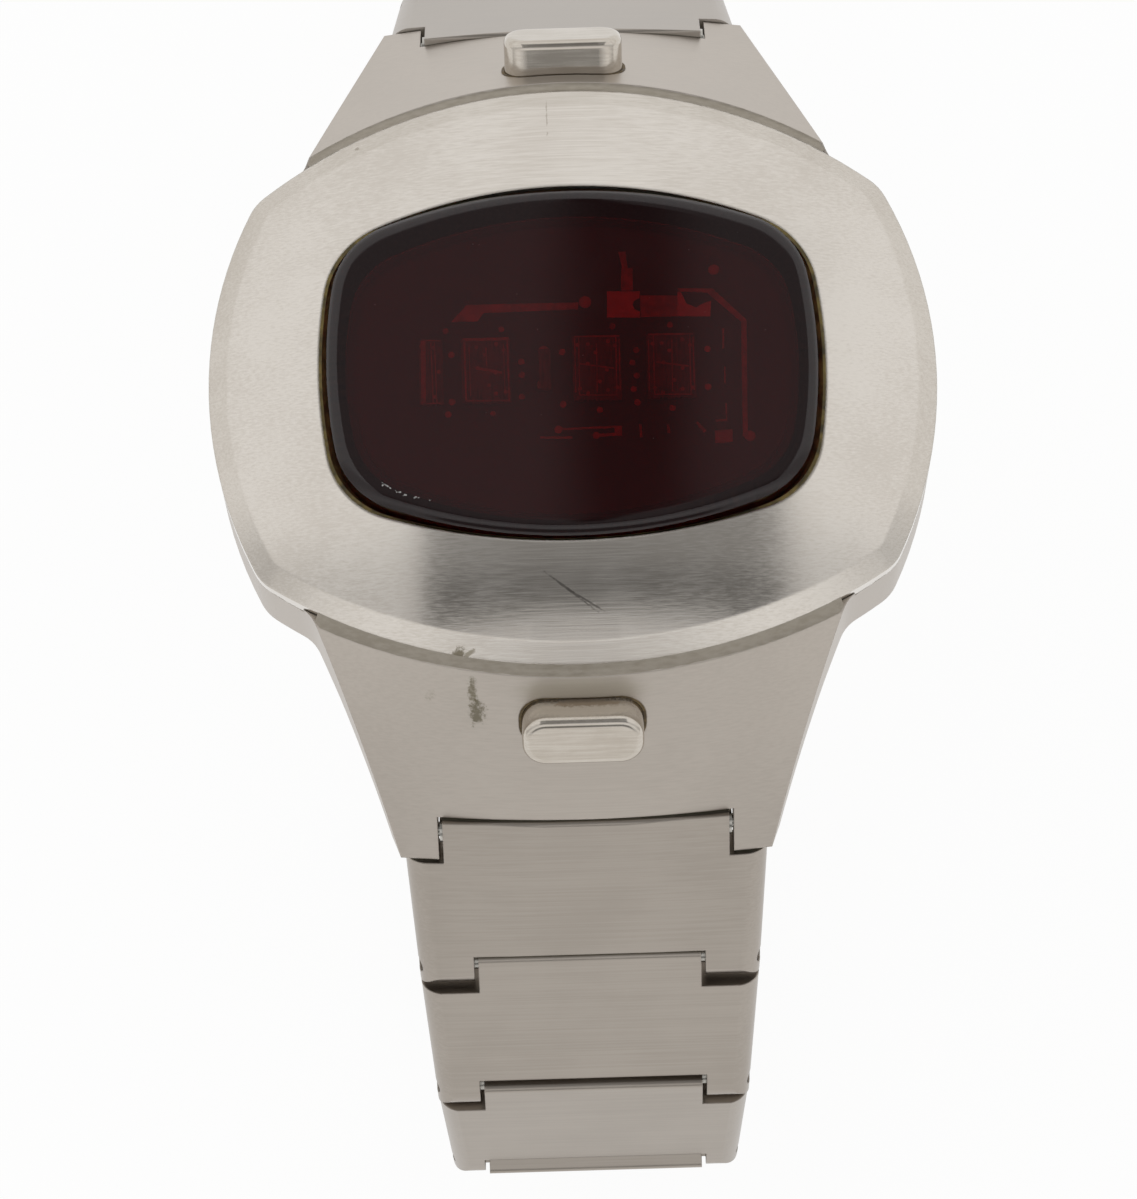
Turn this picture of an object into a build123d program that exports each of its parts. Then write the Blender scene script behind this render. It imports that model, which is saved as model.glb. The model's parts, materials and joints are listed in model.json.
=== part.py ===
from build123d import *
import math
import os

# A steel wristwatch with a light-emitting display: a domed barrel-shaped head whose
# flanks fall into a bracelet of T-shaped links, closed by a fold-over clasp.
# X is 3 o'clock, Y is 12 o'clock, Z is up. The watch stands on the clasp's flat face.
# The head is worked out above the plane where its back seats, then lifted.

# Dome, seen from above
case_width = 40.0
dome_length = 33.0
dome_side_bow = 2.7
dome_end_bow = 5.6
dome_corner_radius = 2.5

# Dome, seen from the side
lens_face_height = 10.5
dome_radius = 50.0
dome_apex_rise = 0.6
rim_bevel_width = 1.15
rim_bevel_drop = 0.35
bezel_seat_height = 5.6
bezel_fit = 0.03

# Flanks and horns
cove_width = 0.64
cove_drop = 0.3
flank_angle = 52.0
flank_length = 12.6
flank_span_inset = 3.5
flank_crown_radius = 85.0
flank_head_inset = 2.45
flank_side_hollow = 0.25
waist_fillet = 2.2
horn_thickness = 2.6
underside_margin = 1.4
underside_hollow = 0.5
horn_width = 2.0
horn_overhang = 0.45
case_shoulder_gap = 0.15

# Cavity for the module, round the window
cavity_margin_x = 0.95
cavity_margin_y = 0.7
cavity_radius = 5.0
bezel_pocket_inset = 0.2
bezel_pocket_top = 6.9

# Display window and its gasket
lens_width = 27.3
lens_length = 19.95
lens_side_bow = 0.9
lens_end_bow = 2.85
lens_corner_radius = 4.6
lens_thickness = 2.1
lens_bevel_width = 0.85
lens_bevel_drop = 0.42
gasket_wall = 0.15
gasket_floor = 0.2
gasket_top_height = 9.2
bezel_lip_width = 1.3

# Links
link_pitch = 10.0
link_thickness = 2.3
link_rest_angles = (55.5, 58.0, 77.0, 116.0, 160.0)
link_width_at_case = 20.3
link_width_at_clasp = 16.0
link_taper_shares = (0.0, 0.24, 0.52, 0.78, 0.95, 1.0)
link_ear_width = 1.5
tongue_side_gap = 0.25
nose_gap = 0.1
nose_round = 0.3
shoulder_gap = 0.35
shoulder_radius = 1.3
link_edge_radius = 0.25
link_grind = 0.02
first_link_crown = 0.45
pin_radius = 0.5
pin_bore_gap = 0.04
pin_inset = 0.25

# Spring bars at the case and in the clasp
bar_radius = 0.75
bar_tip_radius = 0.4
bar_tip_length = 0.8
bar_end_gap = 0.1

# Push buttons, square to the flanks
button_width = 6.6
button_length = 3.05
button_corner = 1.3
button_proud = 1.9
button_round = 0.45
button_gap = 0.15
button_from_cove = 3.05
button_travel = 0.5
button_skirt = 1.2
button_stem_radius = 1.0
button_stem_end = 3.0
pocket_depth = 1.9
button_bore_radius = 1.1
button_bore_end = 4.5
magnet_radius = 0.6
magnet_length = 0.5
button_spring_radius = 0.95
button_spring_wall = 0.2
button_pin_radius = 0.25
button_pin_depth = 2.1
button_pin_slack = 0.05
button_pin_half_length = 2.2

# Back, its screws and the battery hatches
back_margin_x = 0.5
back_margin_y = 3.2
back_corner_radius = 6.0
back_thickness = 2.3
back_edge_bevel = 0.5
gasket_margin_x = 0.9
gasket_margin_y = 0.6
gasket_groove_radius = 5.4
gasket_groove_width = 0.6
gasket_groove_depth = 0.5
back_gasket_clearance = 0.05
screw_inset_x = 4.4
screw_inset_y = 2.3
screw_head_radius = 1.1
screw_head_height = 0.7
screw_shank_radius = 0.6
screw_length = 4.6
screw_slot_width = 0.35
screw_slot_depth = 0.35
screw_gap = 0.05
hatch_flange_width = 0.3
hatch_flange = 0.8
hatch_plug_play = 0.1
hatch_plug_height = 0.7
hatch_gap = 0.06
hatch_ring_groove = 0.25
hatch_ring_height = 0.3
coin_slot_inset = 2.1
coin_slot_width = 1.3
coin_slot_depth = 0.45

# Module
cell_wall = 1.6
cell_offset = 0.25
cell_height = 4.9
cell_bottom = -0.65
cell_step = 0.5
cell_play = 0.15
housing_gap = 0.25
housing_top = 6.8
housing_ceiling = 4.5
board_seat = 5.0
board_thickness = 0.8
board_room = 1.4
board_margin_x = 2.3
board_margin_y = 2.1
board_corner = 3.5
display_seat = 7.3
display_step_inset = 1.9
substrate_inset = 1.75
substrate_thickness = 0.6
digit_width = 2.65
digit_narrow_width = 1.3
digit_height = 3.7
digit_thickness = 0.25
hour_ten_x = -7.7
hour_x = -4.7
colon_x = -1.5
minute_ten_x = 1.35
minute_x = 5.4
colon_width = 0.65
colon_height = 2.3
chip_width = 6.2
chip_length = 5.0
chip_height = 1.1
crystal_radius = 0.75
crystal_length = 6.0
crystal_inset = 2.95
trimmer_radius = 1.4
trimmer_height = 1.0
trimmer_inset = 2.95
reed_radius = 0.6
reed_length = 8.0
reed_inset = 1.4
contact_radius = 1.8
contact_gap = 0.05

# Clasp
clasp_pin_height = 3.2
cover_plate = 0.9
cover_wall = 0.9
cover_height = 4.6
cover_edge_radius = 0.8
cover_overhang = 2.1
cover_wall_overhang = 1.3
cover_plate_overhang = 1.0
cover_end_radius = 1.6
cover_lip_radius = 0.6
adjust_hole_pitch = 2.6
adjust_hole_count = 4
tail_side_gap = 0.45
tail_shoulder_gap = 0.5
hinge_inset = 3.5
hinge_height = 1.85
hinge_eye_radius = 0.85
blade_thickness = 0.8
blade_side_gap = 0.45
outer_blade_height = 1.15
inner_blade_height = 2.85
fold_inset = 5.3
fold_height = 2.6
fold_eye_radius = 1.05
fold_knuckle_half = 2.9
fold_side_gap = 0.3
fork_clearance = 0.75
inner_blade_gap = 0.3
inner_shoulder = 2.0
inner_end_gap = 0.2
clasp_pin_radius = 0.45
window_length = 20.0
window_width = 5.0

overrun = 1.0
deep = 12.0

dome_corner_x = case_width / 2 - dome_side_bow
dome_corner_y = dome_length / 2 - dome_end_bow
lens_corner_x = lens_width / 2 - lens_side_bow
lens_corner_y = lens_length / 2 - lens_end_bow
flank_half_span = case_width / 2 - flank_span_inset
flank_foot_half_width = link_width_at_case / 2
flank_head_half_width = dome_corner_x - flank_head_inset
cavity_half_x = lens_width / 2 + cavity_margin_x
cavity_half_y = lens_length / 2 + cavity_margin_y
gasket_groove_half_x = cavity_half_x + gasket_margin_x
gasket_groove_half_y = cavity_half_y + gasket_margin_y
back_half_x = gasket_groove_half_x + back_margin_x
back_half_y = gasket_groove_half_y + back_margin_y
screw_x = back_half_x - screw_inset_x
screw_y = back_half_y - screw_inset_y
underside_start_y = back_half_y + underside_margin
cell_radius = cavity_half_x / 2 - cell_wall
hatch_x = cavity_half_x / 2 - cell_offset
hatch_plug_radius = cell_radius + hatch_plug_play
hatch_radius = hatch_plug_radius + hatch_flange_width
board_half_x = cavity_half_x - board_margin_x
board_half_y = cavity_half_y - board_margin_y
link_half = link_thickness / 2
notch_setback = link_half + nose_gap
link_count = len(link_rest_angles)
case_notch_width = link_width_at_case - 2 * horn_width
link_notch_width = link_width_at_clasp - 2 * link_ear_width
cover_width = link_width_at_clasp
inner_blade_half = link_notch_width / 2 - inner_blade_gap


def rim_arc_radius(length, corner_x, corner_y):
    rise = length / 2 - corner_y
    return (corner_x ** 2 + rise ** 2) / (2 * rise)


def barrel(width, length, corner_x, corner_y, radius):
    corners = [
        (corner_x, corner_y), (-corner_x, corner_y), (-corner_x, -corner_y), (corner_x, -corner_y)
    ]
    middles = [(0, length / 2), (-width / 2, 0), (0, -length / 2), (width / 2, 0)]
    edges = [
        ThreePointArc(corners[i], middles[i], corners[(i + 1) % 4]) for i in range(4)
    ]
    face = Face(Wire(edges))
    return face.fillet_2d(radius, face.vertices())


def prism(face, low, high):
    return extrude(Pos(0, 0, low) * face, amount=high - low, dir=(0, 0, 1))


def slab(half_x, half_y, radius, low, high):
    return prism(RectangleRounded(2 * half_x, 2 * half_y, radius), low, high)


def disc(x, y, radius, low, high):
    return prism(Pos(x, y) * Circle(radius), low, high)


def block(x_range, y_range, z_range):
    size = [high - low for low, high in (x_range, y_range, z_range)]
    middle = [(high + low) / 2 for low, high in (x_range, y_range, z_range)]
    return Pos(*middle) * Box(*size)


def rod_across(y, z, radius, half_length):
    return Pos(0, y, z) * Rot(0, 90, 0) * Cylinder(radius, 2 * half_length)


def across(face, plane, half_width):
    return extrude(plane * face, amount=half_width, both=True)


def both_ends(shape):
    return [shape, Rot(0, 0, 180) * shape]


def unit(side, angle):
    turn = math.radians(angle)
    return Vector(0, side * math.cos(turn), -math.sin(turn))


def outward(side, angle):
    turn = math.radians(angle)
    return Vector(0, side * math.sin(turn), math.cos(turn))


def frame_at(side, point, angle):
    return Plane(origin=point, x_dir=unit(side, angle), z_dir=outward(side, angle))


def dome_outline():
    return barrel(case_width, dome_length, dome_corner_x, dome_corner_y, dome_corner_radius)


def lens_outline(inset=0.0):
    return barrel(
        lens_width - 2 * inset, lens_length - 2 * inset, lens_corner_x - inset,
        lens_corner_y - inset, lens_corner_radius - inset / 2,
    )


def dome_height_at(x, y):
    apex = lens_face_height + dome_apex_rise
    return apex - dome_radius + math.sqrt(dome_radius ** 2 - x ** 2 - y ** 2)


# Places that the head, the links and the clasp share

cove_y = dome_length / 2 + cove_width
cove_z = dome_height_at(0, dome_length / 2) - rim_bevel_drop - cove_drop
flank_top = Vector(0, cove_y, cove_z)
flank_down = unit(1, flank_angle)
flank_out = outward(1, flank_angle)
horn_end = flank_top + flank_down * flank_length
case_pin = horn_end - flank_down * (link_half + horn_overhang) - flank_out * link_half
button_seat = flank_top + flank_down * button_from_cove

chain_drop = sum(link_pitch * math.sin(math.radians(a)) for a in link_rest_angles)
chain_reach = sum(link_pitch * math.cos(math.radians(a)) for a in link_rest_angles)
head_lift = clasp_pin_height + chain_drop - case_pin.Z
clasp_pin_y = case_pin.Y + chain_reach
hinge_y = clasp_pin_y - hinge_inset
fold_y = -(clasp_pin_y - fold_inset)


def chain_pins(side):
    """Pin places down one half of the bracelet, from the case to the clasp."""
    point = Vector(0, side * case_pin.Y, case_pin.Z + head_lift)
    places = [point]
    for angle in link_rest_angles:
        point = point + unit(side, angle) * link_pitch
        places.append(point)
    return places


def link_width(index):
    share = link_taper_shares[index]
    return link_width_at_case + (link_width_at_clasp - link_width_at_case) * share


def flank():
    """The north flank: a ruled surface from the curve under the dome to the horns."""
    radius = rim_arc_radius(dome_length, dome_corner_x, dome_corner_y) + cove_width
    side_y = cove_y - radius + math.sqrt(radius ** 2 - flank_half_span ** 2)
    side_z = dome_height_at(flank_half_span, side_y) - rim_bevel_drop - cove_drop
    upper = [Vector(-flank_half_span, side_y, side_z), flank_top,
             Vector(flank_half_span, side_y, side_z)]
    sag = flank_half_span ** 2 / (2 * flank_crown_radius)
    foot = horn_end + flank_down * overrun
    across = Vector(flank_half_span, 0, 0)
    lower = [foot - flank_out * sag - across, foot, foot - flank_out * sag + across]
    sections = []
    for left, middle, right in (upper, lower):
        inward = ((left + right) * 0.5 - middle).normalized() * deep
        edges = [
            ThreePointArc(left, middle, right), Line(right, right + inward),
            Line(right + inward, left + inward), Line(left + inward, left),
        ]
        sections.append(Face(Wire(edges)))
    return loft(sections, ruled=True)


def plan_outline():
    """The case seen from above: the barrel with a foot at each end, its sides hollowed."""
    radius = rim_arc_radius(dome_length, dome_corner_x, dome_corner_y)
    head_y = dome_length / 2 - radius + math.sqrt(radius ** 2 - flank_head_half_width ** 2)
    slope = (flank_head_half_width - flank_foot_half_width) / (horn_end.Y - head_y)
    near, far = head_y - 2 * overrun, horn_end.Y + overrun
    sides = []
    for hand in (1, -1):
        corners = [
            (hand * (flank_foot_half_width + slope * (horn_end.Y - y) - hollow), y)
            for y, hollow in ((near, 0), ((near + far) / 2, flank_side_hollow), (far, 0))
        ]
        sides.append(corners)
    right, left = sides
    edges = [
        ThreePointArc(*right), Line(right[2], left[2]), ThreePointArc(*reversed(left)),
        Line(left[0], right[0]),
    ]
    parts = [dome_outline(), *both_ends(Face(Wire(edges)))]
    outline = Sketch()
    for piece in parts:
        outline += piece
    known = [v.center() for piece in parts for v in piece.vertices()]
    waist = [
        v for v in outline.vertices()
        if min((v.center() - point).length for point in known) > bezel_fit
    ]
    return fillet(waist, waist_fillet)


def case_side_profile():
    """The case seen from the side, which trims the horns and hollows the underside."""
    top = lens_face_height + overrun
    crest = horn_end + flank_out * deep
    horn_bottom = horn_end - flank_out * horn_thickness
    start = Vector(0, underside_start_y, 0)
    chord = horn_bottom - start
    hollow = Vector(0, -chord.Z, chord.Y).normalized() * underside_hollow
    middle = (horn_bottom + start) * 0.5 + hollow
    corners = [(point.Y, point.Z) for point in (crest, horn_bottom, middle, start)]
    edges = [
        Line((0, top), (crest.Y, top)), Line((crest.Y, top), corners[0]),
        Line(corners[0], corners[1]), ThreePointArc(*corners[1:]),
        Line(corners[3], (0, 0)), Line((0, 0), (0, top)),
    ]
    half = across(Face(Wire(edges)), Plane.YZ, case_width / 2 + overrun)
    north, south = both_ends(half)
    return north + south


def button_shape(grow):
    return RectangleRounded(button_length + 2 * grow, button_width + 2 * grow, button_corner + grow)


def button_frame(side):
    place = Vector(0, side * button_seat.Y, button_seat.Z)
    return frame_at(side, place, flank_angle)


def button_pin(side, clearance=0.0):
    rod = Cylinder(button_pin_radius + clearance, 2 * (button_pin_half_length + clearance))
    return button_frame(side) * Pos(0, 0, -button_pin_depth) * Rot(90, 0, 0) * rod


def mid_case():
    body = prism(dome_outline(), 0, bezel_seat_height)
    for piece in both_ends(flank()):
        body += piece
    body &= prism(plan_outline(), horn_end.Z - deep, lens_face_height)
    body &= case_side_profile()
    body -= prism(offset(dome_outline(), bezel_fit), bezel_seat_height, lens_face_height + overrun)
    body -= slab(cavity_half_x, cavity_half_y, cavity_radius, -overrun, bezel_seat_height + overrun)
    for side in (1, -1):
        pin = Vector(0, side * case_pin.Y, case_pin.Z)
        local = frame_at(side, pin, flank_angle)
        notch = block(
            (-notch_setback, deep), (-case_notch_width / 2, case_notch_width / 2), (-deep, deep)
        )
        body -= local * notch
        half_tip = case_notch_width / 2 + bar_tip_length + bar_end_gap
        body -= rod_across(pin.Y, pin.Z, bar_tip_radius + pin_bore_gap, half_tip)
        pocket = prism(button_shape(button_gap), -pocket_depth, deep)
        bore = disc(0, 0, button_bore_radius, -button_bore_end, 0)
        body -= button_frame(side) * (pocket + bore)
        body -= button_pin(side, bezel_fit)
    screw_top = screw_length - back_thickness + screw_gap
    for x, y in screw_places():
        body -= disc(x, y, screw_shank_radius + screw_gap, -overrun, screw_top)
    return body


def dome_bezel():
    body = prism(dome_outline(), bezel_seat_height, lens_face_height + overrun)
    centre = Vector(0, 0, lens_face_height + dome_apex_rise - dome_radius)
    body &= Pos(*centre) * Sphere(dome_radius)
    top = body.faces().sort_by(Axis.Z)[-1]
    body = chamfer(top.edges(), rim_bevel_width, rim_bevel_drop, reference=top)
    seat = lens_face_height - lens_thickness - gasket_floor
    body -= prism(lens_outline(-gasket_wall), seat, lens_face_height + overrun)
    body -= prism(lens_outline(bezel_lip_width), bezel_pocket_top - overrun, seat + overrun)
    inset = bezel_pocket_inset
    body -= slab(
        cavity_half_x - inset, cavity_half_y - inset, cavity_radius, bezel_seat_height - overrun,
        bezel_pocket_top,
    )
    return body


def lens_gasket():
    seat = lens_face_height - lens_thickness - gasket_floor
    ring = prism(lens_outline(-gasket_wall), seat, gasket_top_height)
    ring -= prism(lens_outline(), seat + gasket_floor, gasket_top_height + overrun)
    ring -= prism(lens_outline(bezel_lip_width), seat - overrun, seat + overrun)
    return ring


def display_lens():
    low = lens_face_height - lens_thickness
    body = prism(lens_outline(), low, lens_face_height)
    top = body.faces().sort_by(Axis.Z)[-1]
    return chamfer(top.edges(), lens_bevel_width, lens_bevel_drop, reference=top)


def display_substrate():
    face = lens_outline(substrate_inset)
    return prism(face, display_seat, display_seat + substrate_thickness)


def led_digits():
    low = display_seat + substrate_thickness
    sizes = [(x, digit_width, digit_height) for x in (hour_x, minute_ten_x, minute_x)]
    sizes.append((hour_ten_x, digit_narrow_width, digit_height))
    sizes.append((colon_x, colon_width, colon_height))
    dies = [
        block((x - width / 2, x + width / 2), (-height / 2, height / 2), (low, low + digit_thickness))
        for x, width, height in sizes
    ]
    return Part() + dies


def module_housing():
    half_x = cavity_half_x - bezel_pocket_inset - housing_gap
    half_y = cavity_half_y - bezel_pocket_inset - housing_gap
    body = slab(half_x, half_y, cavity_radius, housing_gap, housing_top)
    body += prism(lens_outline(display_step_inset), housing_top, display_seat)
    for x in (-hatch_x, hatch_x):
        body -= disc(x, 0, cell_radius + cell_play, 0, housing_ceiling)
        body -= disc(x, 0, contact_radius + contact_gap, housing_ceiling - overrun, board_seat)
    roof = board_seat + board_room
    body -= slab(board_half_x + cell_play, board_half_y + cell_play, board_corner, board_seat, roof)
    opening = lens_outline(roof_inset())
    body -= prism(opening, roof - overrun, display_seat + overrun)
    return body


def circuit_board():
    return slab(board_half_x, board_half_y, board_corner, board_seat, board_seat + board_thickness)


def board_top():
    return board_seat + board_thickness


def roof_inset():
    return display_step_inset + bezel_lip_width


def driver_chip():
    low = board_top()
    half_x, half_y = chip_width / 2, chip_length / 2
    return block((-half_x, half_x), (-half_y, half_y), (low, low + chip_height))


def quartz_crystal():
    body = Rot(90, 0, 0) * Cylinder(crystal_radius, crystal_length)
    x = lens_width / 2 - roof_inset() - crystal_inset
    return Pos(x, 0, board_top() + crystal_radius) * body


def trimmer_capacitor():
    x = trimmer_inset + roof_inset() - lens_width / 2
    return disc(x, 0, trimmer_radius, board_top(), board_top() + trimmer_height)


def reed_switches():
    tubes = []
    y = lens_length / 2 - roof_inset() - reed_inset
    for side in (1, -1):
        tube = rod_across(side * y, board_top() + reed_radius, reed_radius, reed_length / 2)
        tubes.append(tube)
    return Part() + tubes


def power_cell(side):
    x = side * hatch_x
    body = disc(x, 0, cell_radius, cell_bottom, cell_bottom + cell_height - cell_step)
    cap_top = cell_bottom + cell_height
    return body + disc(x, 0, cell_radius - cell_step, cap_top - cell_step, cap_top)


def cell_contacts():
    low = cell_bottom + cell_height
    discs = [disc(x, 0, contact_radius, low, board_seat) for x in (-hatch_x, hatch_x)]
    return Part() + discs


def screw_places():
    return [(sx * screw_x, sy * screw_y) for sx in (1, -1) for sy in (1, -1)]


def case_back():
    body = slab(back_half_x, back_half_y, back_corner_radius, -back_thickness, 0)
    bottom = body.faces().sort_by(Axis.Z)[0]
    body = chamfer(bottom.edges(), back_edge_bevel)
    body -= gasket_ring(0)
    for x in (-hatch_x, hatch_x):
        body -= disc(x, 0, hatch_radius + hatch_gap, -back_thickness - overrun,
                     hatch_flange - back_thickness + hatch_gap)
        body -= disc(x, 0, hatch_plug_radius + hatch_gap, -back_thickness, overrun)
    head_top = screw_head_height - back_thickness
    for x, y in screw_places():
        body -= disc(x, y, screw_head_radius + screw_gap, -back_thickness - overrun, head_top)
        body -= disc(x, y, screw_shank_radius + screw_gap, -back_thickness, overrun)
    return body


def gasket_ring(clearance):
    inset = gasket_groove_width / 2 - clearance
    rings = [
        RectangleRounded(
            2 * (gasket_groove_half_x + step), 2 * (gasket_groove_half_y + step),
            gasket_groove_radius + step,
        )
        for step in (inset, -inset)
    ]
    return prism(rings[0] - rings[1], clearance - gasket_groove_depth, 0)


def back_screws():
    screws = []
    for x, y in screw_places():
        head_top = screw_head_height - back_thickness - screw_gap
        screw = disc(x, y, screw_head_radius, -back_thickness, head_top)
        screw += disc(x, y, screw_shank_radius, -back_thickness, screw_length - back_thickness)
        half = screw_slot_width / 2
        slot_top = screw_slot_depth - back_thickness
        screw -= block(
            (x - 2 * screw_head_radius, x + 2 * screw_head_radius), (y - half, y + half),
            (-back_thickness - overrun, slot_top),
        )
        screws.append(screw)
    return Part() + screws


def hatch_ring_band(x, radius):
    middle = hatch_flange + hatch_plug_height / 2 - back_thickness
    half = hatch_ring_height / 2
    return disc(x, 0, radius, middle - half, middle + half)


def battery_hatch(side):
    x = side * hatch_x
    flange_top = hatch_flange - back_thickness
    body = disc(x, 0, hatch_radius, -back_thickness, flange_top)
    body += disc(x, 0, hatch_plug_radius, flange_top, flange_top + hatch_plug_height)
    groove_floor = hatch_plug_radius - hatch_ring_groove
    body -= hatch_ring_band(x, hatch_radius) - hatch_ring_band(x, groove_floor)
    half_x, half_y = hatch_radius - coin_slot_inset, coin_slot_width / 2
    slot_top = coin_slot_depth - back_thickness
    body -= block((x - half_x, x + half_x), (-half_y, half_y), (-back_thickness - overrun, slot_top))
    return body


def hatch_seal(side):
    x = side * hatch_x
    return hatch_ring_band(x, hatch_plug_radius) - hatch_ring_band(x, hatch_plug_radius - hatch_ring_groove)


def push_button(side):
    body = prism(button_shape(0), -button_skirt, button_proud)
    top = body.faces().sort_by(Axis.Z)[-1]
    body = fillet(top.edges(), button_round)
    body += disc(0, 0, button_stem_radius, -button_stem_end, 0)
    body -= disc(0, 0, magnet_radius, -button_stem_end - overrun, magnet_length - button_stem_end)
    half_slot = button_pin_radius + button_pin_slack
    body -= block(
        (-half_slot, half_slot), (-deep, deep),
        (-button_pin_depth - half_slot, -button_pin_depth + half_slot + button_travel),
    )
    return button_frame(side) * body


def button_magnet(side):
    magnet = disc(0, 0, magnet_radius, -button_stem_end, magnet_length - button_stem_end)
    return button_frame(side) * magnet


def button_spring(side):
    spring = disc(0, 0, button_spring_radius, -button_bore_end, -button_stem_end)
    spring -= disc(
        0, 0, button_spring_radius - button_spring_wall, -button_bore_end - overrun,
        overrun - button_stem_end,
    )
    return button_frame(side) * spring


def spring_bar(y, z, gap_between, tip_length):
    """A tube with a narrower tip at each end, lying across the watch."""
    tube = rod_across(y, z, bar_radius, gap_between / 2 - bar_end_gap)
    return tube + rod_across(y, z, bar_tip_radius, gap_between / 2 + tip_length)


def case_spring_bar(side):
    return spring_bar(side * case_pin.Y, case_pin.Z, case_notch_width, bar_tip_length)


def link_section(x, width, crown):
    """Cross-section of a link: flat below, with rounded shoulders and a slight crown."""
    half, height = width / 2, link_half + link_grind
    left, right = (x, -half, height - crown), (x, half, height - crown)
    if crown:
        top = ThreePointArc(left, (x, 0, height), right)
    else:
        top = Line(left, right)
    low_left, low_right = (x, -half, -height), (x, half, -height)
    edges = [top, Line(right, low_right), Line(low_right, low_left), Line(low_left, left)]
    face = Face(Wire(edges))
    face = face.fillet_2d(shoulder_radius, [v for v in face.vertices() if v.Z > 0])
    corners = [v for v in face.vertices() if v.Z < nose_round - link_half]
    return face.fillet_2d(link_edge_radius, corners)


def link_profile():
    """A link seen from the side: a nose hollowed for its bend, and a round far end."""
    half, far = link_half, link_pitch
    slant = half * math.sqrt(1 / 2)
    edges = [
        Line((-half, half), (far, half)),
        ThreePointArc((far, half), (far + half, 0), (far, -half)),
        Line((far, -half), (0, -half)),
        ThreePointArc((0, -half), (-slant, -slant), (-half, 0)),
        Line((-half, 0), (-half, half)),
    ]
    face = Face(Wire(edges))
    nose = [v for v in face.vertices() if v.X < nose_round - half and v.Y > slant]
    return face.fillet_2d(nose_round, nose)


def beside(x_range, half_gap):
    """Two blocks that leave a strip of the given half width free along the link."""
    strips = [block(x_range, side_range, (-deep, deep))
              for side_range in ((half_gap, deep + half_gap), (-deep - half_gap, -half_gap))]
    return strips[0] + strips[1]


def link_bore(x, radius):
    return Pos(x, 0, 0) * Rot(90, 0, 0) * Cylinder(radius, 2 * link_width_at_case)


def link(side, index):
    """One T-shaped link: a tongue towards the case and two ears towards the clasp."""
    at_case = index == 0
    ends_in_tail = side < 0 and index == link_count - 1
    near, far = link_width(index), link_width(index + 1)
    slope = (far - near) / link_pitch
    start, end = -link_half - overrun, link_pitch + link_half + overrun
    crown = first_link_crown if at_case else 0
    sections = [
        link_section(start, near + slope * start, crown), link_section(end, near + slope * end, 0)
    ]
    body = loft(sections, ruled=True)
    body &= across(link_profile(), Plane.XZ, link_width_at_case)
    notch = case_notch_width if at_case else link_notch_width
    shoulder = link_half + (horn_overhang + case_shoulder_gap if at_case else shoulder_gap)
    body -= beside((-deep, shoulder), notch / 2 - tongue_side_gap)
    near_bore = bar_radius if at_case else pin_radius
    body -= link_bore(0, near_bore + pin_bore_gap)
    if ends_in_tail:
        tail_half = cover_width / 2 - cover_wall - tail_side_gap
        tail_start = link_pitch - cover_overhang - tail_shoulder_gap
        body -= beside((tail_start, link_pitch + deep), tail_half)
        body -= link_bore(link_pitch, bar_radius + pin_bore_gap)
    else:
        half = link_notch_width / 2
        body -= block((link_pitch - notch_setback, link_pitch + deep), (-half, half), (-deep, deep))
        body -= link_bore(link_pitch, pin_radius + pin_bore_gap)
    return frame_at(side, chain_pins(side)[index], link_rest_angles[index]) * body


def link_pin(side, index):
    """The pin in the ears of the link before the given joint."""
    place = chain_pins(side)[index]
    return rod_across(place.Y, place.Z, pin_radius, link_width(index) / 2 - pin_inset)


def cover_section():
    """Cross-section of the clasp cover: a channel with rounded lower edges."""
    half, wall_top = cover_width / 2, cover_height
    face = Polygon((-half, 0), (half, 0), (half, wall_top), (-half, wall_top), align=None).face()
    face = face.fillet_2d(cover_edge_radius, [v for v in face.vertices() if v.Y < cover_plate])
    inner = half - cover_wall
    room = Polygon(
        (-inner, cover_plate), (inner, cover_plate), (inner, wall_top + overrun),
        (-inner, wall_top + overrun), align=None,
    )
    return Sketch() + face - room


def clasp_cover():
    start, end = -clasp_pin_y - cover_overhang, hinge_y + cover_wall_overhang
    outline = Polygon(
        (start, 0), (end, 0), (end, cover_height), (start, cover_height), align=None
    ).face()
    lower = [v for v in outline.vertices() if v.Y < cover_plate]
    outline = outline.fillet_2d(cover_lip_radius, lower)
    upper = [v for v in outline.vertices() if v.Y > cover_height - overrun / 2]
    outline = outline.fillet_2d(cover_end_radius, upper)
    body = across(outline, Plane.YZ, cover_width)
    body &= across(cover_section(), Plane.XZ, 2 * clasp_pin_y)
    inner = cover_width / 2 - cover_wall
    plate_end = hinge_y + cover_plate_overhang
    body -= block((-inner, inner), (plate_end, end + overrun), (-overrun, cover_height))
    for step in range(adjust_hole_count):
        y = -clasp_pin_y + step * adjust_hole_pitch
        body -= rod_across(y, clasp_pin_height, bar_tip_radius + pin_bore_gap, cover_width)
    body -= rod_across(hinge_y, hinge_height, clasp_pin_radius + pin_bore_gap, cover_width)
    return body


def oblong_window(low, high):
    middle = (hinge_y + fold_y) / 2
    slot = Pos(0, middle) * Rot(0, 0, 90) * SlotOverall(window_length, window_width)
    return prism(slot, low - overrun, high + overrun)


def blade_half_width():
    return cover_width / 2 - cover_wall - blade_side_gap


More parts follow.
